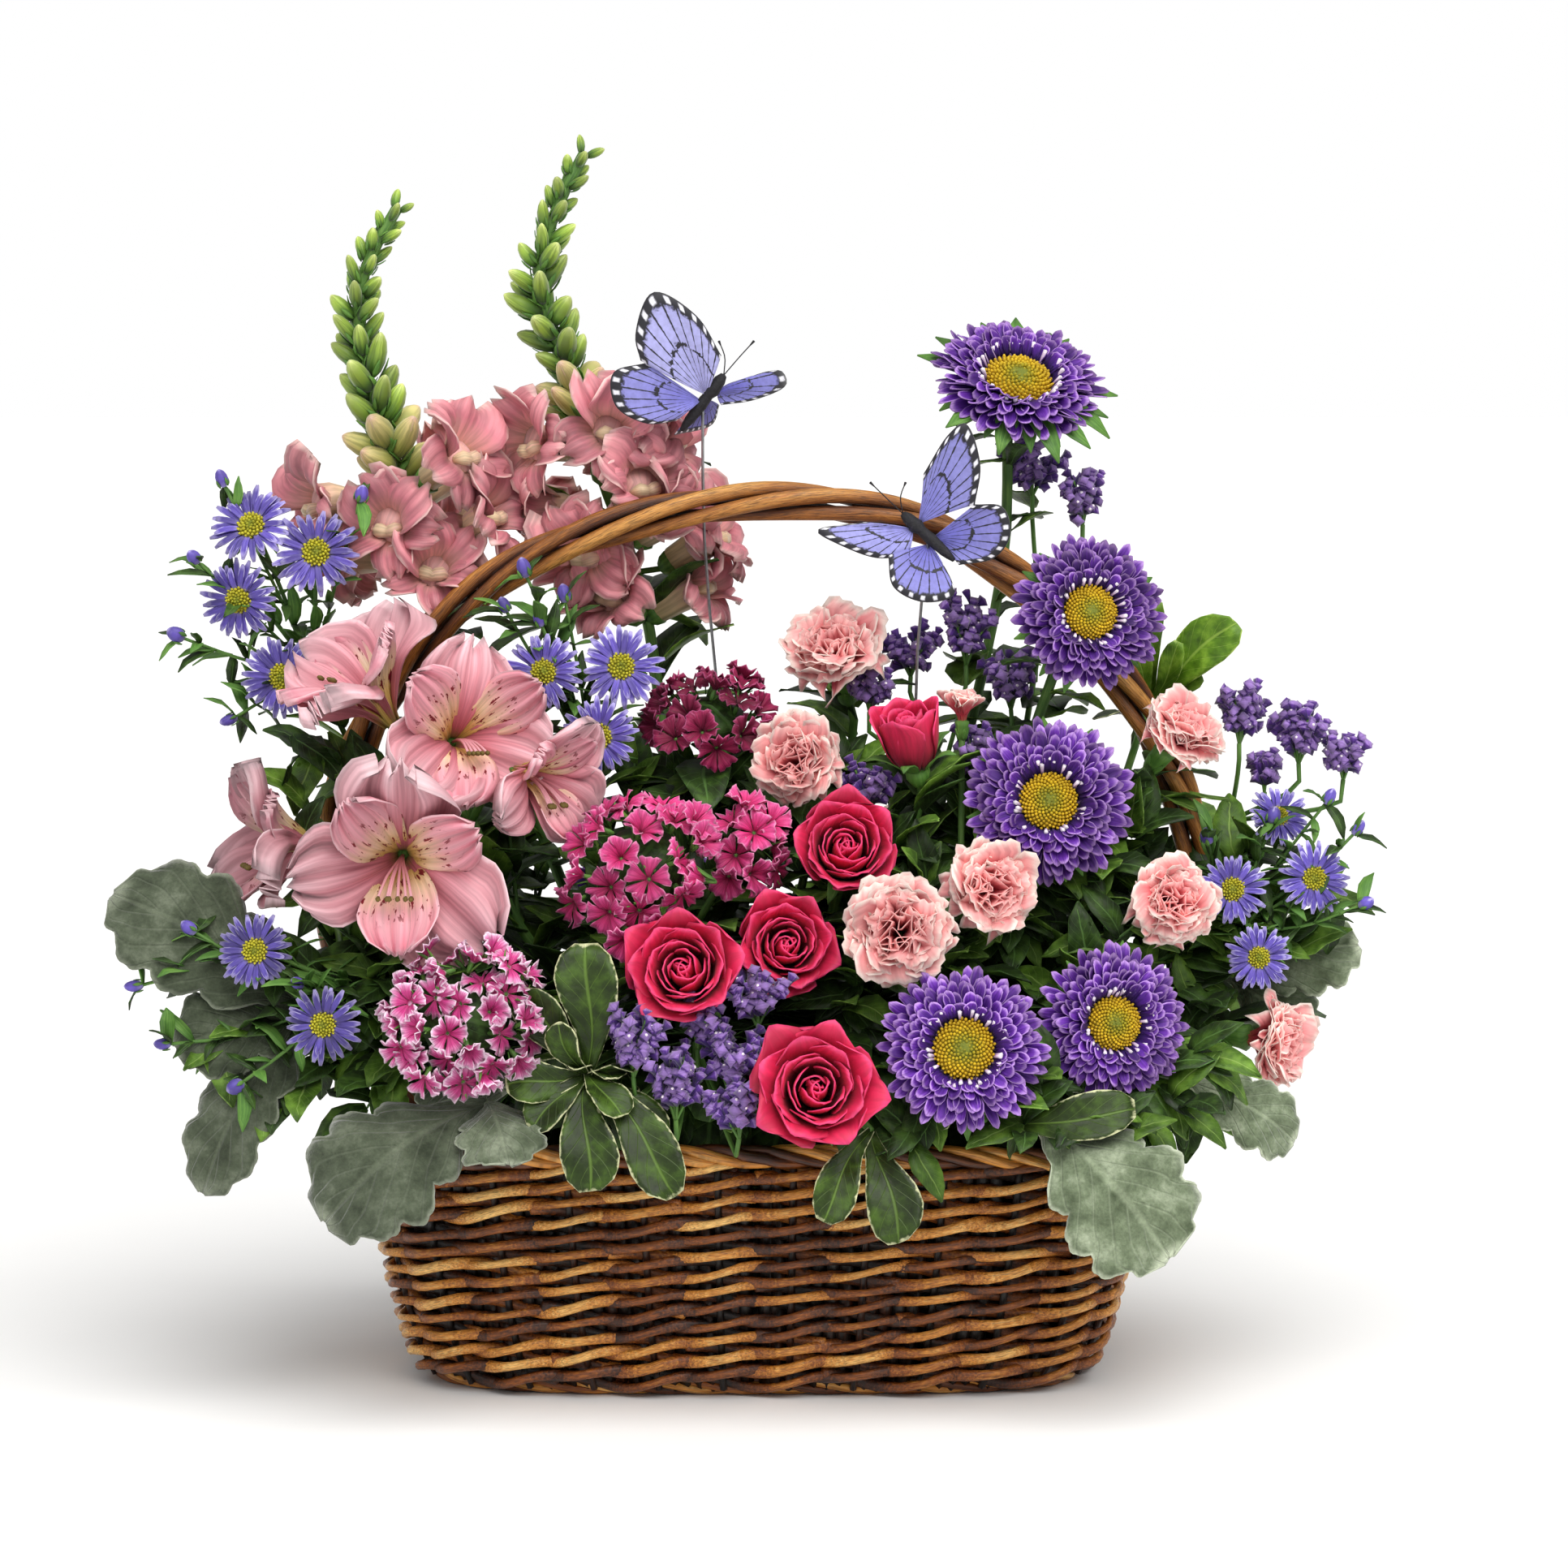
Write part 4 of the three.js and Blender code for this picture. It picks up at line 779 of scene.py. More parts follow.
def petal(build, material, rows, cols, length, lean, width, azimuth, start=(0, 0), *, curl=1.0, point=0.0,
          cup=0.0, wave=(0, 0, 0), teeth=0.0, tuck=0.0, thick=0.35, tone=0.5, twist=0.0, notch=0.0,
          shown=1.0):
    """One petal of a bloom.

    start is how far out and forward its base lies. width gives its half width for shares of its length.
    curl wraps it round the bloom's axis: 1 is a full wrap, 0 is flat. point draws its tip out, notch draws
    it in, cup lifts its edges, tuck moves one edge in and the other out, twist turns it about its length,
    wave is the height, number and phase of the waves on its margin, and shown is how far along its colours
    go.
    """
    t, out, rise = swept(length, lean)
    u, v = patch(rows, cols)
    saw = teeth * (np.arange(cols) % 2 * 2 - 1)[None, :] * (u > 0.99)
    dent = notch * np.exp(-((v / 0.3) ** 2)) * u**4
    reach = np.clip(u * (1 - point * np.abs(v) ** 1.3 * u**2 - dent) + saw, 0, 1.2)
    span = np.interp(u, *np.transpose(width)) * length
    high, number, phase = wave
    ripple = u**1.6 * np.sin(number * np.pi * v + phase) + 0.75 * u * v**2 * np.sin(9 * u + 2 * phase + 2 * v)
    lift = high * ripple + cup * span * v**2 + twist * span * v * u
    radial = start[0] + np.interp(reach, t, out) + tuck * v * u
    radial = radial - np.interp(reach, t, np.gradient(rise, t)) / length * lift
    forward = start[1] + np.interp(reach, t, rise)
    forward = forward + np.interp(reach, t, np.gradient(out, t)) / length * lift
    around = span * v
    if curl:
        bend = np.maximum(np.maximum(radial, 0.08 * length), span * 0.45) / curl
        side = bend * np.sin(around / bend)
        radial = radial - bend * (1 - np.cos(around / bend))
    else:
        side = np.broadcast_to(around, radial.shape)
    c, s = math.cos(azimuth), math.sin(azimuth)
    grid = np.stack([radial * c - side * s, radial * s + side * c, forward], axis=-1)
    build.sheet(grid, material, thick, tone, shown)


def sepals(build, rng, count, step, rows, cols, length, lean, half, start, first=0.0, **form):
    """Green, pointed leaves round a bloom's axis."""
    for i in range(count):
        petal(build, SEPAL, rows, cols, length, lean, scaled(BLADE, half), i * step + first, start,
              tone=rng.random(), **form)


def cup(build, size, heights, radii, material, sides, tone):
    """A round body on the bloom's axis. Its heights and radii are shares of size."""
    build.tube(on_axis(heights) * size, np.array(radii) * size, material, sides, tone)


def bracts(build, rng, radius, count, reach):
    """Narrow green leaves behind a head, and the green cup that holds it."""
    for i in range(count):
        petal(build, SEPAL, 6, 3, radius * reach * rng.uniform(0.7, 1.2), (50, 88, rng.uniform(80, 130)),
              scaled(BLADE, 0.14), i * GOLDEN, (radius * 0.12, -0.24 * radius), curl=0, cup=0.3, thick=0.5,
              tone=rng.random())
    cup(build, radius, (-0.36, -0.3, -0.18, -0.08), (0.08, 0.2, 0.34, 0.36), SEPAL, 12, 0.4)


def beads(build, rng, material, radius, height, count, size):
    """A dome of small round florets."""
    dome = on_axis((-0.25, 0.25, 0.6, 0.85)) * height
    build.tube(dome, np.array([1, 0.94, 0.7, 0.36]) * radius, material, 14, 0.5, (1, 0))
    for i in range(count):
        s = math.sqrt((i + 0.5) / count)
        spot = radius * s * circle(i * GOLDEN)
        out = spot / max(radius, 1)
        spot[2] = height * (1 - s**2) ** 0.5 * 0.9 - size * 0.3
        tall = size * rng.uniform(0.8, 1.5)
        path = spot + on_axis((0, 0.7, 1)) * tall + out * tall * 0.5 * [[0], [0.6], [1]]
        build.tube(path, np.array([0.5, 0.5, 0.25]) * size, material, 5, rng.random(), (s, s))


def bud(build, rng, material, length, radius, with_sepals=True):
    """A closed bud along +Z, with its base at the origin."""
    share = np.array([0, 0.14, 0.36, 0.6, 0.82, 0.94, 1.0])
    path = np.stack([np.zeros(7), 0.1 * length * share**2, share * length], axis=1)
    swell = np.array([0.5, 0.82, 1, 0.96, 0.72, 0.42, 0.15]) * radius
    build.tube(path, swell, material, 9, rng.random(), (0, 1))
    if with_sepals:
        sepals(build, rng, 4, QUARTER, 4, 3, length * 0.5, (20, 6, -8), 0.6 * radius / length,
               (radius * 0.9, 0), 0.4, curl=0.6, thick=0.35)


# ---------------------------------------------------------------- blooms


def rose(build, rng, radius, opening, count=26):
    """A spiral of rolled petals in the middle, and wider petals round it that turn back at their tips."""
    size = radius * np.interp(opening, [0.5, 0.8, 1], [1.7, 1.14, 0.9])
    for i in range(count):
        s = i / (count - 1) * opening
        core = max(0.0, 1 - s * 4)
        petal(
            build, ROSE, 9, 9, size * (0.86 + 0.55 * s), (14 + 66 * s, -4 + 32 * s, -16 + 128 * s**1.7),
            scaled(ROUND, 0.28 + 0.34 * s), i * GOLDEN,
            (size * (0.04 + 0.17 * min(1, s * 3.2)), -0.62 * size), curl=1.0 - 0.35 * s,
            point=0.06 + 0.2 * s**2, tuck=size * (0.07 * core + 0.03), thick=0.5,
            wave=(size * 0.035 * s, rng.uniform(1.5, 2.5), rng.uniform(0, 6)),
            cup=-0.12 * s**3, tone=rng.random())
    sepals(build, rng, 5, FIFTH, 6, 5, size * 0.8, (60, 25 + 50 * opening, 120), 0.16,
           (size * 0.12, -0.7 * size), thick=0.6)
    cup(build, size, (-0.98, -0.9, -0.8, -0.7, -0.62), (0.09, 0.15, 0.2, 0.2, 0.12), SEPAL, 8, rng.random())


def carnation(build, rng, radius, light, count=36, opening=1.0):
    """A dome of fan-shaped petals with ruffled, toothed edges, in a long green calyx."""
    for i in range(count):
        s = (i + 0.5) / count
        tip = 96 * s**0.7 * opening
        lean = (4, tip * 0.45, tip * 1.2 + rng.uniform(-8, 18))
        azimuth = i * GOLDEN + rng.normal(0, 0.15)
        high = radius * rng.uniform(0.1, 0.18) * (1.2 - 0.5 * s)
        petal(
            build, CARNATION, 8, 19, radius * (0.96 + 0.18 * s), lean, scaled(FAN, 0.38 + 0.38 * s), azimuth,
            (radius * 0.05, -0.5 * radius), curl=0.3, point=0.15 * s, teeth=0.014, thick=0.3,
            shown=0.9 + 0.1 * s, wave=(high, rng.uniform(1.6, 3) - 1.0 * s, rng.uniform(0, 6)),
            twist=rng.uniform(-0.5, 0.5), tone=rng.random() + light)
    cup(build, radius, (-1.02, -0.95, -0.75, -0.55, -0.4), (0.1, 0.16, 0.2, 0.21, 0.24), SEPAL, 10, 0.6)
    sepals(build, rng, 4, QUARTER, 5, 3, radius * 0.4, (25, 10, 20), 0.25, (radius * 0.13, -1.0 * radius),
           thick=0.5)


# the rows of an aster's rays: how many, how far they reach, where they start out and forward, and their rise
ASTER_ROWS = [
    (42, 1.0, -0.1, -0.17, 84), (40, 0.93, -0.07, -0.11, 76), (38, 0.85, -0.03, -0.06, 68),
    (34, 0.75, 0.0, -0.01, 58), (30, 0.64, 0.03, 0.03, 46),
]
ASTER_TUBES = 38


def aster(build, rng, radius, bract_reach, light):
    """Rows of narrow, blunt rays, a ring of pale tubes and a yellow disc, with leafy bracts behind."""
    disc = rng.uniform(0.33, 0.41)
    for count, reach, inner, base, rise in ASTER_ROWS:
        start = disc + inner
        for i in range(count):
            length = radius * (reach * rng.uniform(0.92, 1.04) - start)
            angle = 2 * math.pi * (i + rng.uniform(-0.4, 0.4)) / count + reach * 40
            lean = (rise - 34, rise, rise + rng.uniform(-40, 30))
            half = rng.uniform(0.06, 0.075) * radius / length
            petal(
                build, ASTER, 6, 5, length / 0.92, lean, scaled(RAY, half), angle,
                (start * radius, base * radius), curl=0, point=0.07, thick=0.45,
                cup=rng.uniform(0.1, 0.5), tone=rng.random() + light, twist=rng.uniform(-0.8, 0.8))
    for i in range(ASTER_TUBES):
        out = circle(2 * math.pi * (i + rng.uniform(-0.4, 0.4)) / ASTER_TUBES)
        reach = disc + rng.uniform(0.04, 0.16)
        tip = out * (reach + 0.02) + (0, 0, rng.uniform(0.13, 0.2))
        path = np.array([out * disc, out * (reach - 0.03) + (0, 0, 0.08), tip]) * radius
        build.tube(path, np.array([0.018, 0.02, 0.028]) * radius, ASTER_TUBE, 5, rng.random(), (0, 1))
    beads(build, rng, DISC, radius * disc, radius * 0.15, 230, radius * 0.042)
    bracts(build, rng, radius, 22, bract_reach)


def daisy(build, rng, radius, light):
    """One and a half rows of narrow rays round a small disc."""
    for count, reach, base in ((22, 1.0, -0.03), (13, 0.88, 0.02)):
        for i in range(count):
            length = radius * (reach * rng.uniform(0.86, 1.04) - 0.24)
            petal(
                build, SMALL_ASTER, 6, 4, length / 0.97, (50, 84, rng.uniform(78, 112)),
                scaled(STRAP, 0.075 * radius / length), 2 * math.pi * (i + rng.uniform(-0.3, 0.3)) / count,
                (0.24 * radius, base * radius), curl=0, cup=rng.uniform(0.2, 0.7), tone=rng.random() + light)
    beads(build, rng, SMALL_DISC, radius * 0.3, radius * 0.17, 60, radius * 0.075)
    bracts(build, rng, radius, 9, 0.5)


# the petals of each sweet william, the width of its florets, and how close together they are
WILLIAMS = {
    "front": (WILLIAM_FRONT, 8.4, 2.3),
    "middle": (WILLIAM_MIDDLE, 9.2, 1.6),
    "high": (WILLIAM_HIGH, 9.2, 1.6),
}
HEAD_EDGE = 1.35  # the angle from a head's axis to its outermost florets


def sweet_william(build, rng, radius, material, floret, crowding):
    """A domed head of small five-petalled florets with fringed edges, and fine bracts between them."""
    count = int(crowding * (radius / floret) ** 2) + 6
    centre, turn = build.shift, build.turn
    for i in range(count):
        lean = math.sqrt((i + 0.5) / count) * HEAD_EDGE
        out = circle(i * GOLDEN)
        axis = unit(out * math.sin(lean) + (0, 0, math.cos(lean)) + rng.normal(0, 0.36, 3))
        spot = out * radius * rng.uniform(0.84, 1.02) * math.sin(lean) / math.sin(HEAD_EDGE)
        spot[2] = radius * (0.42 * math.cos(lean) - 0.06) + rng.uniform(-3.5, 3.5)
        build.place(centre + turn @ spot, turn @ aim(axis, rng.uniform(0, 6)))
        tone = rng.random()
        open_to = rng.uniform(38, 88)
        for j in range(5):
            cupped = open_to + rng.normal(0, 8)
            petal(
                build, material, 5, 7, floret * 1.05, (20, cupped, cupped + 14), scaled(FAN, 0.47), j * FIFTH,
                (0.3, -0.12 * floret), curl=0, wave=(1.3, rng.uniform(1.5, 2.5), rng.uniform(0, 6)),
                teeth=0.06, cup=0.12, thick=0.3, tone=tone)
        cup(build, 1, (-5, -3, -0.4), (0.8, 1.1, 0.8), SEPAL, 5, rng.random())
        for j in range(2):
            petal(build, SEPAL, 4, 3, rng.uniform(6, 10), (20, 30, 40), scaled(BLADE, 0.07),
                  rng.uniform(0, 6), (1.2, -4.5), curl=0, thick=0.4, tone=rng.random())
    build.place(centre, turn)
    cup(build, radius, (-0.34, -0.2, -0.02, 0.12), (0.1, 0.45, 0.6, 0.4), FOLIAGE, 12, 0.2)


def alstroemeria(build, rng, radius, light):
    """Three broad, ruffled outer petals, three inner ones with a dashed, yellow throat, and stamens."""
    for k in range(6):
        inner = k % 2
        material, middle, tip, half, ruffle = (
            (ALSTROEMERIA_INNER, (30, 40), (60, 95), 0.27, 0.1) if inner
            else (ALSTROEMERIA, (38, 56), (60, 120), 0.42, 0.19))
        petal(
            build, material, 17, 15, radius * 1.75 * rng.uniform(0.9, 1.04),
            (10, rng.uniform(*middle), rng.uniform(*tip)), scaled(SPOON, half * rng.uniform(0.86, 1.1)),
            math.pi / 2 + k * math.pi / 3 + rng.normal(0, 0.18),
            (radius * 0.05, -radius * (0.9 + 0.06 * inner)), curl=0.3, notch=-0.04, point=0.03, thick=0.5,
            wave=(radius * ruffle, rng.uniform(3.0, 5.0), rng.uniform(0, 6)),
            cup=rng.uniform(-0.2, 0.1), tone=rng.random() + light, twist=rng.uniform(-0.3, 0.3))
    for _ in range(6):
        side = rng.uniform(-0.16, 0.16)
        path = [(0, 0, -0.9), (side * 0.3, -0.04, -0.5), (side, -0.16, -0.1), (side * 1.5, -0.34, 0.16)]
        path = catmull(np.array(path) * radius, 8)
        build.tube(path, 0.55, ALSTROEMERIA, 5, 0.9, (0.3, 0.8))
        build.tube(path[-1] + ((0, 0, 0), (0, -0.6, 1.2), (0, -1, 2.2)), [0.7, 1.1, 0.6], ANTHER, 6, 0.4)
    cup(build, radius, (-1.14, -1.06, -0.96, -0.86), (0.05, 0.09, 0.1, 0.07), SEPAL, 8, 0.5)


def statice(build, rng, radius):
    """Short curved spikes that spread from one stalk, with papery funnels along their outer side."""
    for k in range(round(radius / 1.6)):
        out = circle(k * GOLDEN + rng.uniform(-0.3, 0.3))
        lean = rng.uniform(0.2, 1.2)
        tip = (out * math.sin(lean) + (0, 0, math.cos(lean))) * radius * rng.uniform(1.05, 1.35)
        spike = catmull([(0, 0, -radius * 0.75), tip * 0.45 - (0, 0, radius * 0.2), tip], 12)
        build.tube(spike, 0.6, STEM, 5, rng.random())
        for i in range(15):
            spot = spike[min(3 + i * 8 // 14, 11)]
            axis = unit(out * 0.6 + (0, 0, 0.8) + rng.normal(0, 0.42, 3))
            tall = rng.uniform(4.2, 6.2)
            funnel = [spot, spot + axis * tall * 0.55, spot + axis * tall]
            build.tube(funnel, [0.6, 1.1, rng.uniform(1.8, 2.6)], STATICE, 8, rng.random(), (0, 1), 0.22)
            if i % 4 == 0:
                build.tube([funnel[-1], spot + axis * (tall + 0.8)], [0.9, 0.6], ASTER_TUBE, 5, 0.5, (0.5, 1))


# a snapdragon floret's lobes: azimuth, lean, length and half width
SNAP_LOBES = [
    (58, (14, 36, 150), 1.4, 0.58), (122, (14, 36, 140), 1.4, 0.58), (200, (35, 66, 170), 1.2, 0.52),
    (340, (35, 66, 170), 1.2, 0.52), (270, (40, 78, 150), 1.1, 0.45),
]


def snap_floret(build, rng, radius):
    """Two upright lobes above, three spreading lobes below, a swollen palate between them, and a tube."""
    tube = np.array([(0, 0.02, -1.0), (0, 0.02, -0.8), (0, 0, -0.4), (0, 0, 0.0), (0, -0.02, 0.25)]) * radius
    build.tube(tube, np.array([0.2, 0.3, 0.34, 0.42, 0.4]) * radius, SNAP_TUBE, 10, rng.random(), (0, 1))
    for azimuth, lean, long, wide in SNAP_LOBES:
        lean = np.array(lean) + rng.normal(0, 14, 3)
        petal(
            build, SNAP_PETAL, 10, 11, radius * long, lean, scaled(ROUND, wide),
            math.radians(azimuth) + rng.normal(0, 0.15), (radius * 0.26, 0), curl=0.5, cup=0.1, thick=0.5,
            wave=(radius * 0.15, rng.uniform(1.6, 3), rng.uniform(0, 6)), tone=rng.random(),
            twist=rng.uniform(-0.3, 0.3))
    palate = [
        (-0.3, -0.16, 0.24), (-0.14, -0.22, 0.44), (0, -0.24, 0.36), (0.14, -0.22, 0.44), (0.3, -0.16, 0.24)]
    swell = np.array([0.08, 0.13, 0.17, 0.15, 0.13, 0.15, 0.17, 0.13, 0.08]) * radius
    build.tube(catmull(np.array(palate) * radius, 9), swell, SNAP_TUBE, 7, rng.random(), (0.4, 0.9))
    cup(build, radius, (-1.12, -1.0, -0.84), (0.16, 0.27, 0.32), SEPAL, 8, 0.5)


# ---------------------------------------------------------------- stems and leaves


def stem_route(points, foot):
    """A stem's path through points, then upright down to its foot in the foam."""
    low = [(*foot, FOAM_TOP + UPRIGHT), (*foot, FOAM_TOP + COLLAR), (*foot, FOAM_TOP - PEG)]
    return catmull(list(points) + low, 8 + 3 * len(points))


class Blade:
    """Where a leaf lies: its base and length, and its directions along it, to its side and up."""

    def __init__(self, base, tip, up):
        self.base, tip, up = points_of(base, tip, up)
        self.length = np.linalg.norm(tip - self.base)
        self.along = (tip - self.base) / self.length
        self.up = unit(up - self.along * up.dot(self.along))
        self.aside = np.cross(self.along, self.up)

    def grid(self, reach, aside, lift):
        ways = (reach, self.along), (aside, self.aside), (lift, self.up)
        return self.base + sum(share[..., None] * way for share, way in ways)


def leaf(build, base, tip, half, up, material, rng, rows=8, cols=5, shape=SPOON, sag=0.08):
    """A leaf from base to tip, half wide to each side, with its upper side towards up."""
    blade = Blade(base, tip, up)
    u, v = patch(rows, cols)
    span = np.interp(u, *np.transpose(shape)) * half
    phase = rng.uniform(0, 6, 2)
    lift = sag * blade.length * (np.sin(np.pi * u) - 0.4 * u**2) + 0.24 * span * np.abs(v)
    lift = lift + half * (0.1 * v * np.sin(9 * u + phase[0] + v) + 0.05 * v**2 * np.sin(14 * u + phase[1]))
    sway = 0.24 * blade.length * np.sin(2.5 * u + phase[0]) * u * (1 - u)
    build.sheet(blade.grid(u * blade.length, span * v + sway, lift), material, 0.45, rng.random())


def lobed_leaf(build, base, tip, wide, up, rng):
    """A dusty miller leaf: broad and felted, with rounded lobes that point forward."""
    blade = Blade(base, tip, up)
    u, v = patch(61, 11)
    side = np.abs(v)
    shape = np.interp(u, [0, 0.08, 0.3, 0.6, 0.8, 0.93, 1], [0.06, 0.16, 0.75, 1.0, 0.85, 0.5, 0.08])
    lobes = 0.27 * np.abs(np.sin(4.5 * np.pi * u + 0.4)) ** 0.7 - 0.2
    lobes = lobes + 0.045 * np.abs(np.sin(13.5 * np.pi * u))
    span = shape * (1 + side**2 * lobes) * wide * 0.6
    phase = rng.uniform(0, 6, 3)
    lift = 0.16 * blade.length * (np.sin(np.pi * u * 0.9) - 0.55 * u**2) - 0.14 * span * side**2
    lift = lift + 0.05 * wide * side * np.sin(11 * u + phase[0] + np.sign(v))
    lift = lift + 0.03 * wide * np.cos(18 * (u - 0.3 * side) + phase[1]) * side
    reach = u * blade.length * 0.94 + 0.16 * wide * side * shape
    # painted light and shade: leaves to the right are lighter and those to the left darker, with some random
    # spread
    tone = np.clip(0.53 + tip[0] / 380 + rng.normal(0, 0.12), 0.05, 1)
    build.sheet(blade.grid(reach, span * v, lift), FELT, 0.8, tone)
    stalk = [blade.base + blade.along * far for far in (-6, 0, 0.1 * blade.length)]
    build.tube(stalk, [1.2, 1.3, 1.0], FELT, 6, 0.5, (0, 0.1))


def bloom_zones():
    """The centre, direction and radius of every bloom, for the leaves to keep clear of."""
    found = [(centre, face, across / 2) for centre, face, across, _, _ in SINGLES.values()]
    for _, _, blooms in SPRAYS.values():
        found += [(centre, face, across / 2) for centre, face, across in blooms]
    centres, faces, radii = (np.array(column, float) for column in zip(*found))
    return centres, unit(faces), radii


ZONES = bloom_zones()
SHADED = 45  # how far in front of a bloom no leaf may be


def hides_bloom(base, tip):
    """True if a leaf would cut through a bloom or lie in front of its face."""
    centres, faces, radii = ZONES
    for share in (0.35, 0.7, 1.0):
        away = base + share * (tip - base) - centres
        ahead = (away * faces).sum(axis=1)
        aside = np.linalg.norm(away - ahead[:, None] * faces, axis=1)
        if np.any((aside < radii * 0.95) & (ahead > -0.35 * radii) & (ahead < SHADED)):
            return True
    return False


def leafy(build, rng, route, count, length, slim, material=None, shape=BLADE):
    """Leaves on all sides of a stem, from its top down to the foam. None reaches above the stem's top."""
    above = route[route[:, 2] > FOAM_TOP + 1]
    ceiling = above[:, 2].max() + 4
    for i in range(count):
        for _ in range(4):
            place = (i + rng.random()) / count * (len(above) - 1)
            here = int(place)
            spot = above[here] + (place - here) * (above[min(here + 1, len(above) - 1)] - above[here])
            out = circle(rng.uniform(0, 2 * math.pi), rng.uniform(-0.4, 0.9))
            size = length * rng.uniform(0.7, 1.2)
            tip = spot + unit(out) * size
            tip[2] = min(tip[2], ceiling)
            if not hides_bloom(spot, tip):
                up = out * (-1, -1, 0) + (0, 0, 1.1)
                # painted light: every second leaf high up, and each leaf at the front, takes the lighter copy
                # of the foliage
                lit = LIT_FOLIAGE if (spot[2] > 150 and i % 2) or spot[1] < -90 else FOLIAGE
                leaf(build, spot, tip, size * slim, up, material or lit, rng, 7, 5, shape)
                break


def collar(build, rng, foot, count, material=FOLIAGE, length=58):
    """Leaves from a stem's foot over the foam to the rim, every second one down between foam and wall."""
    start = np.array((*foot, FOAM_TOP + 5))
    outward = math.atan2(foot[1] * 1.5, foot[0])
    if foot[1] > 10 or abs(foot[0]) > 84:
        count += 6
    for i in range(count):
        around = outward + (i + 0.5 - count / 2) * 2.6 / count + rng.uniform(-0.3, 0.3)
        size = length * rng.uniform(0.7, 1.1)
        tip = start + size * circle(around, rng.uniform(-0.16, 0.35))
        if i % 2:
            tip = start + (tip - start) * 0.72
            tip[2] = RIM_TOP - rng.uniform(4, 24)
        else:
            tip[2] = max(tip[2], RIM_TOP + 4)
        if not hides_bloom(start, tip):
            leaf(build, start, tip, size * 0.27, (0, 0, 1), material, rng, sag=0.3)


def fronds(build, rng, node, start):
    """Leafy side stems."""
    for tip in FRONDS.get(node, ()):
        start, tip = points_of(start, tip)
        route = catmull([tip, (start + tip) / 2 + (0, 0, 6), start], 12)
        build.tube(route, np.linspace(0.5, 1.1, 12), STEM, 5, rng.random())
        for k in range(16):
            spot = route[k * 10 // 16]
            size = rng.uniform(20, 32)
            end = spot + unit(rng.normal(0, 1, 3) + 0.9 * unit(tip - start)) * size
            if not hides_bloom(spot, end):
                # painted light: every third leaf takes the lighter copy of the foliage
                lit = FOLIAGE if k % 3 else LIT_FOLIAGE
                leaf(build, spot, end, size * 0.24, (0, -0.7, 1), lit, rng, 6, 4, BLADE)


def twig(build, rng, start, tip):
    """A thin side stem with narrow leaves, and a bud at its end."""
    start, tip = points_of(start, tip)
    rise = 0.12 * np.linalg.norm(tip - start) * rng.uniform(-1, 1)
    middle = (start + tip) / 2 + (0, 0, rise)
    route = catmull([tip, middle, start], 9)
    build.tube(route, 0.7, STEM, 5, rng.random())
    for k in range(14):
        spot = route[k * 7 // 14]
        size = rng.uniform(10, 20)
        end = spot + unit(rng.normal(0, 1, 3) + 0.6 * unit(tip - start)) * size
        leaf(build, spot, end, size * 0.16, (0, -0.4, 1), SEPAL if k % 2 else FOLIAGE, rng, 5, 3, BLADE)
    build.place(tip, aim(tip - middle + (0, 0, 2)))
    bud(build, rng, SMALL_ASTER, rng.uniform(6, 8), rng.uniform(2.2, 3.2))
    build.place()


# ---------------------------------------------------------------- flowers

# kind: where on a bloom's axis its stem ends, as a share of its radius, and the stem's radius
STEMS = {
    "rose_bud": (-0.9, 1.8), "rose": (-0.6, 2.3), "aster": (-0.2, 2.2), "carnation": (-0.85, 1.8),
    "sweet_william": (-0.25, 2.0), "daisies": (-0.2, 1.3), "alstroemeria": (-0.9, 2.4),
    "statice": (-0.7, 1.3),
}

# painted light and shade: how much lighter or darker than usual the petals of some flowers, or of one
# bloom of a spray, are painted, for how much light falls on them
PAINTED_LIGHT = {
    "carnation_front": -0.5, "carnation_middle": -0.35, "carnation_high": -0.15, "carnation_right": 0.2,
    "carnation_low": 0.2, "daisies_left_high": -0.2, "daisies_left_low": -0.5, "daisies_right": 0.15,
    "alstroemeria_lower_0": -0.3, "alstroemeria_lower_1": -1.3, "aster_upper": -0.22, "aster_middle": -0.08,
    "aster_front": 0.15,
}

# how far each rose is open, unless it is as far as usual
OPEN = {"rose_front": 1.0, "rose_upper": 0.8}
USUALLY_OPEN = 0.87

# how many leaves a stem has, their length and breadth, what they are made of and their shape
LEAVES = {
    "aster": (34, 25, 0.3, None, SPOON), "rose": (22, 34, 0.34, None, SPOON), "daisies": (28, 28, 0.22),
}
USUAL_LEAVES = (24, 42, 0.24)


def kind_of(node):
    return next(kind for kind in STEMS if node.startswith(kind))


def behind(kind, centre, face, across, straight):
    """Where a bloom's stem joins it, and a point straight behind that."""
    top = np.asarray(centre) + unit(face) * STEMS[kind][0] * across / 2
    return [top, top - unit(face) * straight]


def bloom(build, rng, kind, node, centre, face, across, light):
    radius = across / 2
    build.place(centre, aim(face, 0.0 if kind == "alstroemeria" else rng.uniform(0, 6)))
    if kind == "rose":
        rose(build, rng, radius, OPEN.get(node, USUALLY_OPEN))
    elif kind == "rose_bud":
        rose(build, rng, radius, 0.5, 16)
    elif kind == "aster":
        aster(build, rng, radius, 1.05 if node == "aster_top" else 0.86, light)
    elif kind == "carnation" and across < 20:
        carnation(build, rng, radius * 1.35, light, 16, 0.25)
    elif kind == "carnation":
        carnation(build, rng, radius, light)
    elif kind == "sweet_william":
        sweet_william(build, rng, radius, *WILLIAMS[node.split("_")[-1]])
    elif kind == "daisies":
        daisy(build, rng, radius, light)
    elif kind == "alstroemeria":
        alstroemeria(build, rng, radius, light)
    else:
        statice(build, rng, radius)
    build.place()


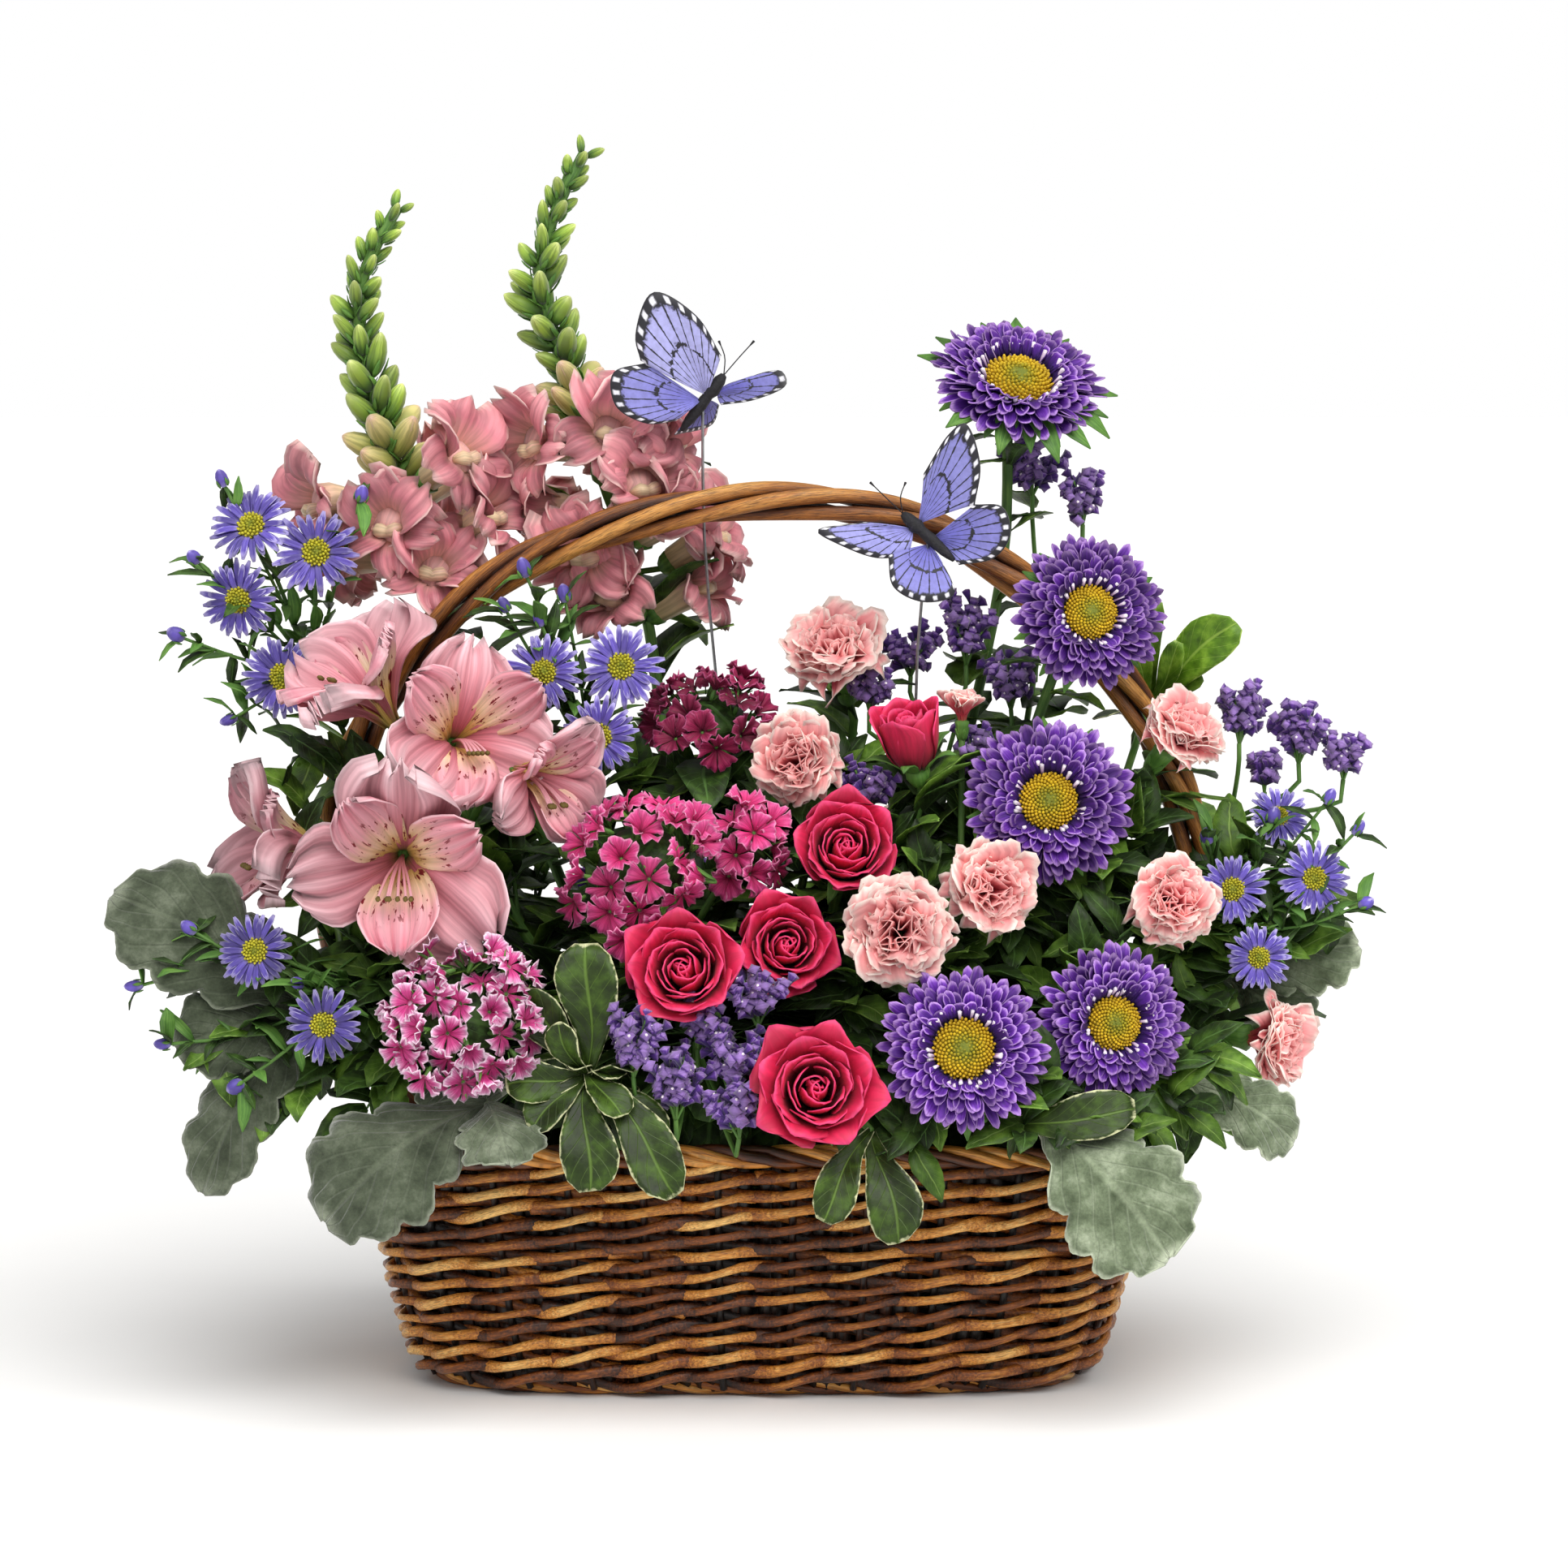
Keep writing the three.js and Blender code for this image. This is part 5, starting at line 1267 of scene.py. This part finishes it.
def build_singles():
    for node, (centre, face, across, foot, by) in SINGLES.items():
        kind = kind_of(node)
        rng = seeded(node)
        build = Build()
        bloom(build, rng, kind, node, centre, face, across, PAINTED_LIGHT.get(node, 0))
        route = stem_route(behind(kind, centre, face, across, 14) + by, foot)
        build.tube(route, STEMS[kind][1], STEM, 7, rng.random())
        leafy(build, rng, route, *LEAVES.get(kind, USUAL_LEAVES))
        fronds(build, rng, node, route[len(route) // 3])
        collar(build, rng, foot, 8)
        piece(build, node, "flower")


def build_sprays():
    for node, (foot, trunk, blooms) in SPRAYS.items():
        kind = kind_of(node)
        thick = STEMS[kind][1]
        rng = seeded(node)
        build = Build()
        route = stem_route(trunk, foot)
        build.tube(route, thick, STEM, 6, rng.random())
        for i, (centre, face, across) in enumerate(blooms):
            light = PAINTED_LIGHT.get(f"{node}_{i}", PAINTED_LIGHT.get(node, 0))
            bloom(build, rng, kind, node, centre, face, across, light)
            own = catmull(behind(kind, centre, face, across, 8) + [trunk[0]], 7)
            build.tube(own, thick * 0.75, STEM, 6, rng.random())
            if kind == "daisies":
                leafy(build, rng, own, 12, 17, 0.14, SEPAL)
        for tip in BUDS.get(node, ()):
            twig(build, rng, trunk[0], tip)
        leafy(build, rng, route, *LEAVES.get(kind, USUAL_LEAVES))
        fronds(build, rng, node, trunk[-1])
        collar(build, rng, foot, 8)
        piece(build, node, "flowers")


SPIKE_BUDS = 44
SPIKE_STEPS = 60  # points along a spike's spine
SPIKE_SHARE = 0.43  # of the spine that carries buds
FLORET_RADIUS = 18.5


def nearest_on(curve, place):
    return curve[np.argmin(np.linalg.norm(curve - place, axis=1))]


def spike(build, rng, curve):
    """Buds all round the top of a spine. They grow towards the florets, and the lowest turn pink."""
    for i in range(SPIKE_BUDS):
        grown = i / SPIKE_BUDS
        here = int(SPIKE_SHARE * grown**0.94 * (SPIKE_STEPS - 1))
        spot = curve[here]
        down = unit(curve[min(here + 1, SPIKE_STEPS - 1)] - spot)
        side = unit(np.cross(down, (0, 1, 0)))
        out = math.cos(i * GOLDEN) * side + math.sin(i * GOLDEN) * np.cross(side, down)
        turning = grown > 0.8
        size = 0.45 + 0.55 * min(1, grown * 1.6) + 0.2 * turning
        axis = unit(out * (0.4 + 0.6 * size) * rng.uniform(0.7, 1.4) - down)
        build.place(spot + out * 1.6, aim(axis, rng.uniform(0, 6)))
        bud(build, rng, SNAP_TURNING if turning else SNAP_BUD, 16 * size * rng.uniform(0.85, 1.2),
            3.9 * size * rng.uniform(0.85, 1.15), size > 0.5)


def build_snapdragons():
    for node, (foot, spine, florets) in SNAPDRAGONS.items():
        rng = seeded(node)
        build = Build()
        curve = catmull(spine, SPIKE_STEPS)
        build.tube(stem_route(spine, foot), 2.4, STEM, 7, 0.5)
        spike(build, rng, curve)
        for centre in florets:
            face = unit(centre - nearest_on(curve, centre) + (0, 0, 11))
            build.place(centre, aim(face, rng.normal(0, 0.15)))
            snap_floret(build, rng, FLORET_RADIUS)
            build.place()
            back = centre - face * (FLORET_RADIUS + 2)
            joint = nearest_on(curve, back)
            build.tube([joint, (joint + back) / 2, back], 1.3, STEM, 5, 0.5)
        leafy(build, rng, stem_route(spine[4:], foot), 22, 44, 0.17)
        fronds(build, rng, node, spine[-1])
        collar(build, rng, foot, 9)
        piece(build, node, "flowers")


def build_sprigs():
    for node, (foot, trunk, leaves) in SPRIGS.items():
        rng = seeded(node)
        build = Build()
        route = stem_route(trunk, foot)
        if node.startswith("dusty"):
            miller(build, rng, route, trunk[0], foot, leaves)
            piece(build, node, "leaves")
            continue
        build.tube(route, 1.6, STEM, 6, 0.4)
        # painted light: the sprig high up on the right takes the lighter copy of the pittosporum leaf
        material = LIT_LEAF if "upper" in node else LEAF
        for tip, wide, up in leaves:
            leaf(build, trunk[0], tip, wide * 0.46, up, material, rng, 13, 9)
        at_back = "back" in node
        leafy(build, rng, route, 22 if at_back else 10, 44 if at_back else 30, 0.24, LEAF, SPOON)
        collar(build, rng, foot, 8 if at_back else 6, LEAF if at_back else FOLIAGE, 66)
        piece(build, node, "leaves")


def miller(build, rng, route, base, foot, leaves):
    """A dusty miller's stem, the leaves that the photo shows, and three that fill the space over the foam."""
    build.tube(route, 1.6, FELT, 6, 0.4)
    for tip, wide, up in leaves:
        lobed_leaf(build, base, tip, wide, up, rng)
    for _ in range(3):
        stray = (rng.uniform(-26, 26), rng.uniform(-20, 20), rng.uniform(0, 16))
        tip = (np.array(base) + (*foot, FOAM_TOP)) / 2 + stray + 24 * unit((*foot, 0))
        lobed_leaf(build, (*foot, FOAM_TOP + 6), tip, 34, (0, 0, 1), rng)


# ---------------------------------------------------------------- basket


def squared(v):
    """Draws a circle's coordinate out towards that of a square."""
    return np.sign(v) * np.abs(v) ** (2 / BASKET["corner"])


def superellipse(turn, share, inset):
    """Points of the basket wall at a share of its height, moved in by inset."""
    flare = share ** BASKET["flare"]
    long, deep = (low + (high - low) * flare for low, high in zip(BASKET["base"], BASKET["top"]))
    out = squared(np.cos(turn))
    z = BASKET["height"] * share * (1 - BASKET["dip"] * share * out**4)
    points = (long - inset) * out, (deep - inset) * squared(np.sin(turn)), np.broadcast_to(z, np.shape(out))
    return np.stack(points, axis=-1)


def even_turn(share_round):
    """The superellipse's own angle at a share of the way round, measured along its edge."""
    fine = np.linspace(0, 2 * math.pi, 4001)
    length = lengths_along(superellipse(fine, 0.6, 0))
    return np.interp(np.asarray(share_round) % 1.0 * length[-1], length, fine)


STAKES = 30
BACKING = 5  # rods for each stake; all but one of them stand behind the weave and close it
ROWS = 26
WEAVE_FOOT = 0.065
WEAVE_TOP = 0.915
ROD_RADIUS = 1.75
ROD_SPAN = 6  # stakes that one rod passes
SLANT = 0.018  # how far a rod rises on each side of the stake that it passes in front of


def build_wall():
    """Rows of willow rods, each in front of every second stake, and behind those that the next row passes in
    front of. Each stretch in front rises a little to the right."""
    rng = seeded("basket_wall")
    build = Build()
    t = np.linspace(-0.5, ROD_SPAN + 0.5, ROD_SPAN * 6 + 7)
    inward = 0.5 * (1 + np.cos(np.pi * t))
    for row, level in enumerate(np.linspace(WEAVE_FOOT, WEAVE_TOP, ROWS)):
        for first in range(0, STAKES, ROD_SPAN):
            wander = np.interp(t, np.arange(-1, ROD_SPAN + 2), rng.normal(0, 0.0035, ROD_SPAN + 3))
            share = level - SLANT * rng.uniform(0.6, 1.6) * np.sin(np.pi * t) + wander
            path = superellipse(even_turn((first + row + t) / STAKES), share, 1.3 + 6.8 * inward)
            radius = ROD_RADIUS * rng.uniform(0.82, 1.15) * np.linspace(1.08, 0.9, len(t))
            swell = 0.07 * np.sin(t * 3.1 + rng.uniform(0, 6)) + inward * (0.95 - 0.5 * inward)
            radius = radius * (1 + swell)
            # painted shade: each rod is darker where it passes behind the stakes, in the recess of the weave
            build.tube(path, radius, WILLOW, 8, rng.uniform(0.1, 0.9) + 0.25 - 0.6 * inward)
    share = np.linspace(0.03, 0.93, 9)
    for j in range(BACKING * STAKES):
        inset, radius = (9.6, 3.4) if j % BACKING else (5.4, 1.5)
        path = superellipse(even_turn(np.full(9, j / STAKES / BACKING)), share, inset)
        # painted shade: the stakes and the backing rods behind the weave are painted dark, so the weave's
        # gaps look shaded
        build.tube(path, radius, WILLOW, 6, rng.uniform(-0.3, 0.0))
    piece(build, "basket_wall", "woven")


BORDER_STEPS = 360
BORDER_RODS = 4


def build_borders():
    """Rods wound round each other along the rim and along the foot."""
    rng = seeded("borders")
    for node, share, inset, z, helix, radius, turns in (
        ("basket_rim", 1.0, RIM_RADIUS, -RIM_RADIUS, 2.6, 2.1, 15),
        ("basket_foot_border", 0.0, FOOT_RADIUS, FOOT_RADIUS, 1.9, 1.9, 12),
    ):
        turn = even_turn(np.arange(BORDER_STEPS) / BORDER_STEPS)
        centre = superellipse(turn, share, inset) + (0, 0, z)
        inward = unit(superellipse(turn, share, inset + 1) + (0, 0, z) - centre)
        build = Build()
        for k in range(BORDER_RODS):
            angle = 2 * np.pi * (turns * np.arange(BORDER_STEPS) / BORDER_STEPS + k / BORDER_RODS)[:, None]
            path = centre + helix * (np.cos(angle) * inward + np.sin(angle) * np.array((0, 0, 1)))
            path = np.vstack([path, path[:1]])
            build.tube(path, radius * rng.uniform(0.9, 1.08), WILLOW, 7, rng.uniform(0.2, 1))
        piece(build, node, "plaited")


def build_base():
    """The woven floor: rods across the basket, over and under sticks that run along it."""
    rng = seeded("base")
    build = Build()
    half_length, half_depth = (half - 10 for half in BASKET["base"])
    middle = 4  # above the underside

    def reach(share):
        return (1 - abs(share) ** BASKET["corner"]) ** (1 / BASKET["corner"])

    for share in np.linspace(-0.86, 0.86, 7):
        stick = [(way * half_length * reach(share), share * half_depth, middle) for way in (-1, 0, 1)]
        build.tube(catmull(stick, 12), 1.5, WILLOW, 6, rng.random())
    for k, share in enumerate(np.linspace(-0.97, 0.97, 54)):
        y = np.linspace(-1, 1, 29) * half_depth * reach(share)
        z = middle + 2.0 * np.cos(np.pi * y / (0.287 * half_depth) + np.pi * k)
        build.tube(np.stack([np.full(29, share * half_length), y, z], axis=1), 1.75, WILLOW, 6, rng.random())
    piece(build, "basket_base", "woven")


HANDLE_STEPS = 171


def build_handle():
    """Four rods wound round each other along the arch."""
    arch = catmull([(x, 0, z) for x, z in HANDLE_ROUTE], HANDLE_STEPS)
    share = np.linspace(0, 1, HANDLE_STEPS)
    across = np.array((0, 1, 0))
    out = unit(np.cross(across, np.gradient(arch, axis=0)))
    for i in range(HANDLE["rods"]):
        build = Build()
        turn = (2 * np.pi * (HANDLE["turns"] * share + i / HANDLE["rods"]))[:, None]
        path = arch + HANDLE["helix"] * (np.cos(turn) * across + np.sin(turn) * out)
        radius = HANDLE["radius"] * (0.94 + 0.05 * np.sin(share * 31 + i * 2) + 0.04 * np.sin(share * 73 + i))
        # painted shade: each rod is darker towards the arch's middle line, in the crevices between the rods
        build.tube(path, radius, HANDLE_WILLOW, 10, 0.42 + 0.15 * i, core=arch)
        piece(build, f"handle_rod_{i + 1}", "bark")


# ---------------------------------------------------------------- butterflies

# the body's radius at shares of its length, from its tail
BODY_SHARES = [0, 0.15, 0.5, 0.62, 0.74, 0.86, 0.93, 1]
BODY_RADII = [0.9, 2.0, 2.6, 1.9, 3.3, 2.3, 2.5, 1.4]
WING_TONES = {"butterfly_left": (1.0, 0.55, 0.25, 0.1), "butterfly_right": (0.6, 0.45, 0.7, 0.4)}


def build_butterflies():
    for node, (head, tail, wings) in BUTTERFLIES.items():
        build = Build()
        head, tail = points_of(head, tail)
        along = head - tail
        share = np.linspace(0, 1, 12)
        build.tube(tail + share[:, None] * along, np.interp(share, BODY_SHARES, BODY_RADII), INSECT, 10, 0.5)
        for side in (-1, 1):
            feeler = [head, head + along * 0.2 + (side * 3, -1, 3), head + along * 0.3 + (side * 7, -2, 7)]
            build.tube(catmull(feeler, 8), np.append(np.full(7, 0.25), 0.6), INSECT, 5, 0.5)
        for outline, tone in zip(wings, WING_TONES[node]):
            root = np.asarray(outline[0], float)
            edge = catmull(outline[1:], 33)
            u = np.linspace(0.04, 1, 9)[:, None, None]
            normal = unit(np.cross(edge[0] - root, edge[-1] - root))
            camber = np.sin(np.pi * u) * 0.05 * np.linalg.norm(edge.mean(axis=0) - root)
            build.sheet(root + u * (edge[None] - root) + camber * normal, WING, 0.5, tone)
        piece(build, node, "insect")


# ---------------------------------------------------------------- the scene


def dress_cad():
    """Materials for the CAD nodes that stay."""
    wire = plain_look("wire", [(0.3, "8a8c8e"), (0.7, "b4b6b8")], 300.0, 0.35, 0.1, Metallic=0.9)
    looks = {
        "liner": plain_look("liner", [(0.3, "10160f"), (0.7, "1f291e")], 60.0, 0.45, 0.15),
        "floral_foam": plain_look(
            "foam", [(0.3, "0c2a14"), (0.5, "1c4a28"), (0.7, "2c6238")], 420.0, 0.95, 0.9),
        "butterfly_left_wire": wire,
        "butterfly_right_wire": wire,
    }
    for node, material in looks.items():
        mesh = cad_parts[node].data
        mesh.materials.clear()
        mesh.materials.append(material)


def build_floor():
    half = 12.0
    corners = [(-half, -half, 0), (half, -half, 0), (half, half, 0), (-half, half, 0)]
    mesh = bpy.data.meshes.new("floor")
    mesh.from_pydata(corners, [], [(0, 1, 2, 3)])
    mesh.materials.append(plain_look("floor", [(0.0, "f2f2f2"), (1.0, "fafafa")], 3.0, 0.8, 0.02))
    add_object("floor", mesh)


build_camera()
build_light()
build_floor()
dress_cad()
build_wall()
build_borders()
build_base()
build_handle()
build_singles()
build_sprays()
build_snapdragons()
build_sprigs()
build_butterflies()
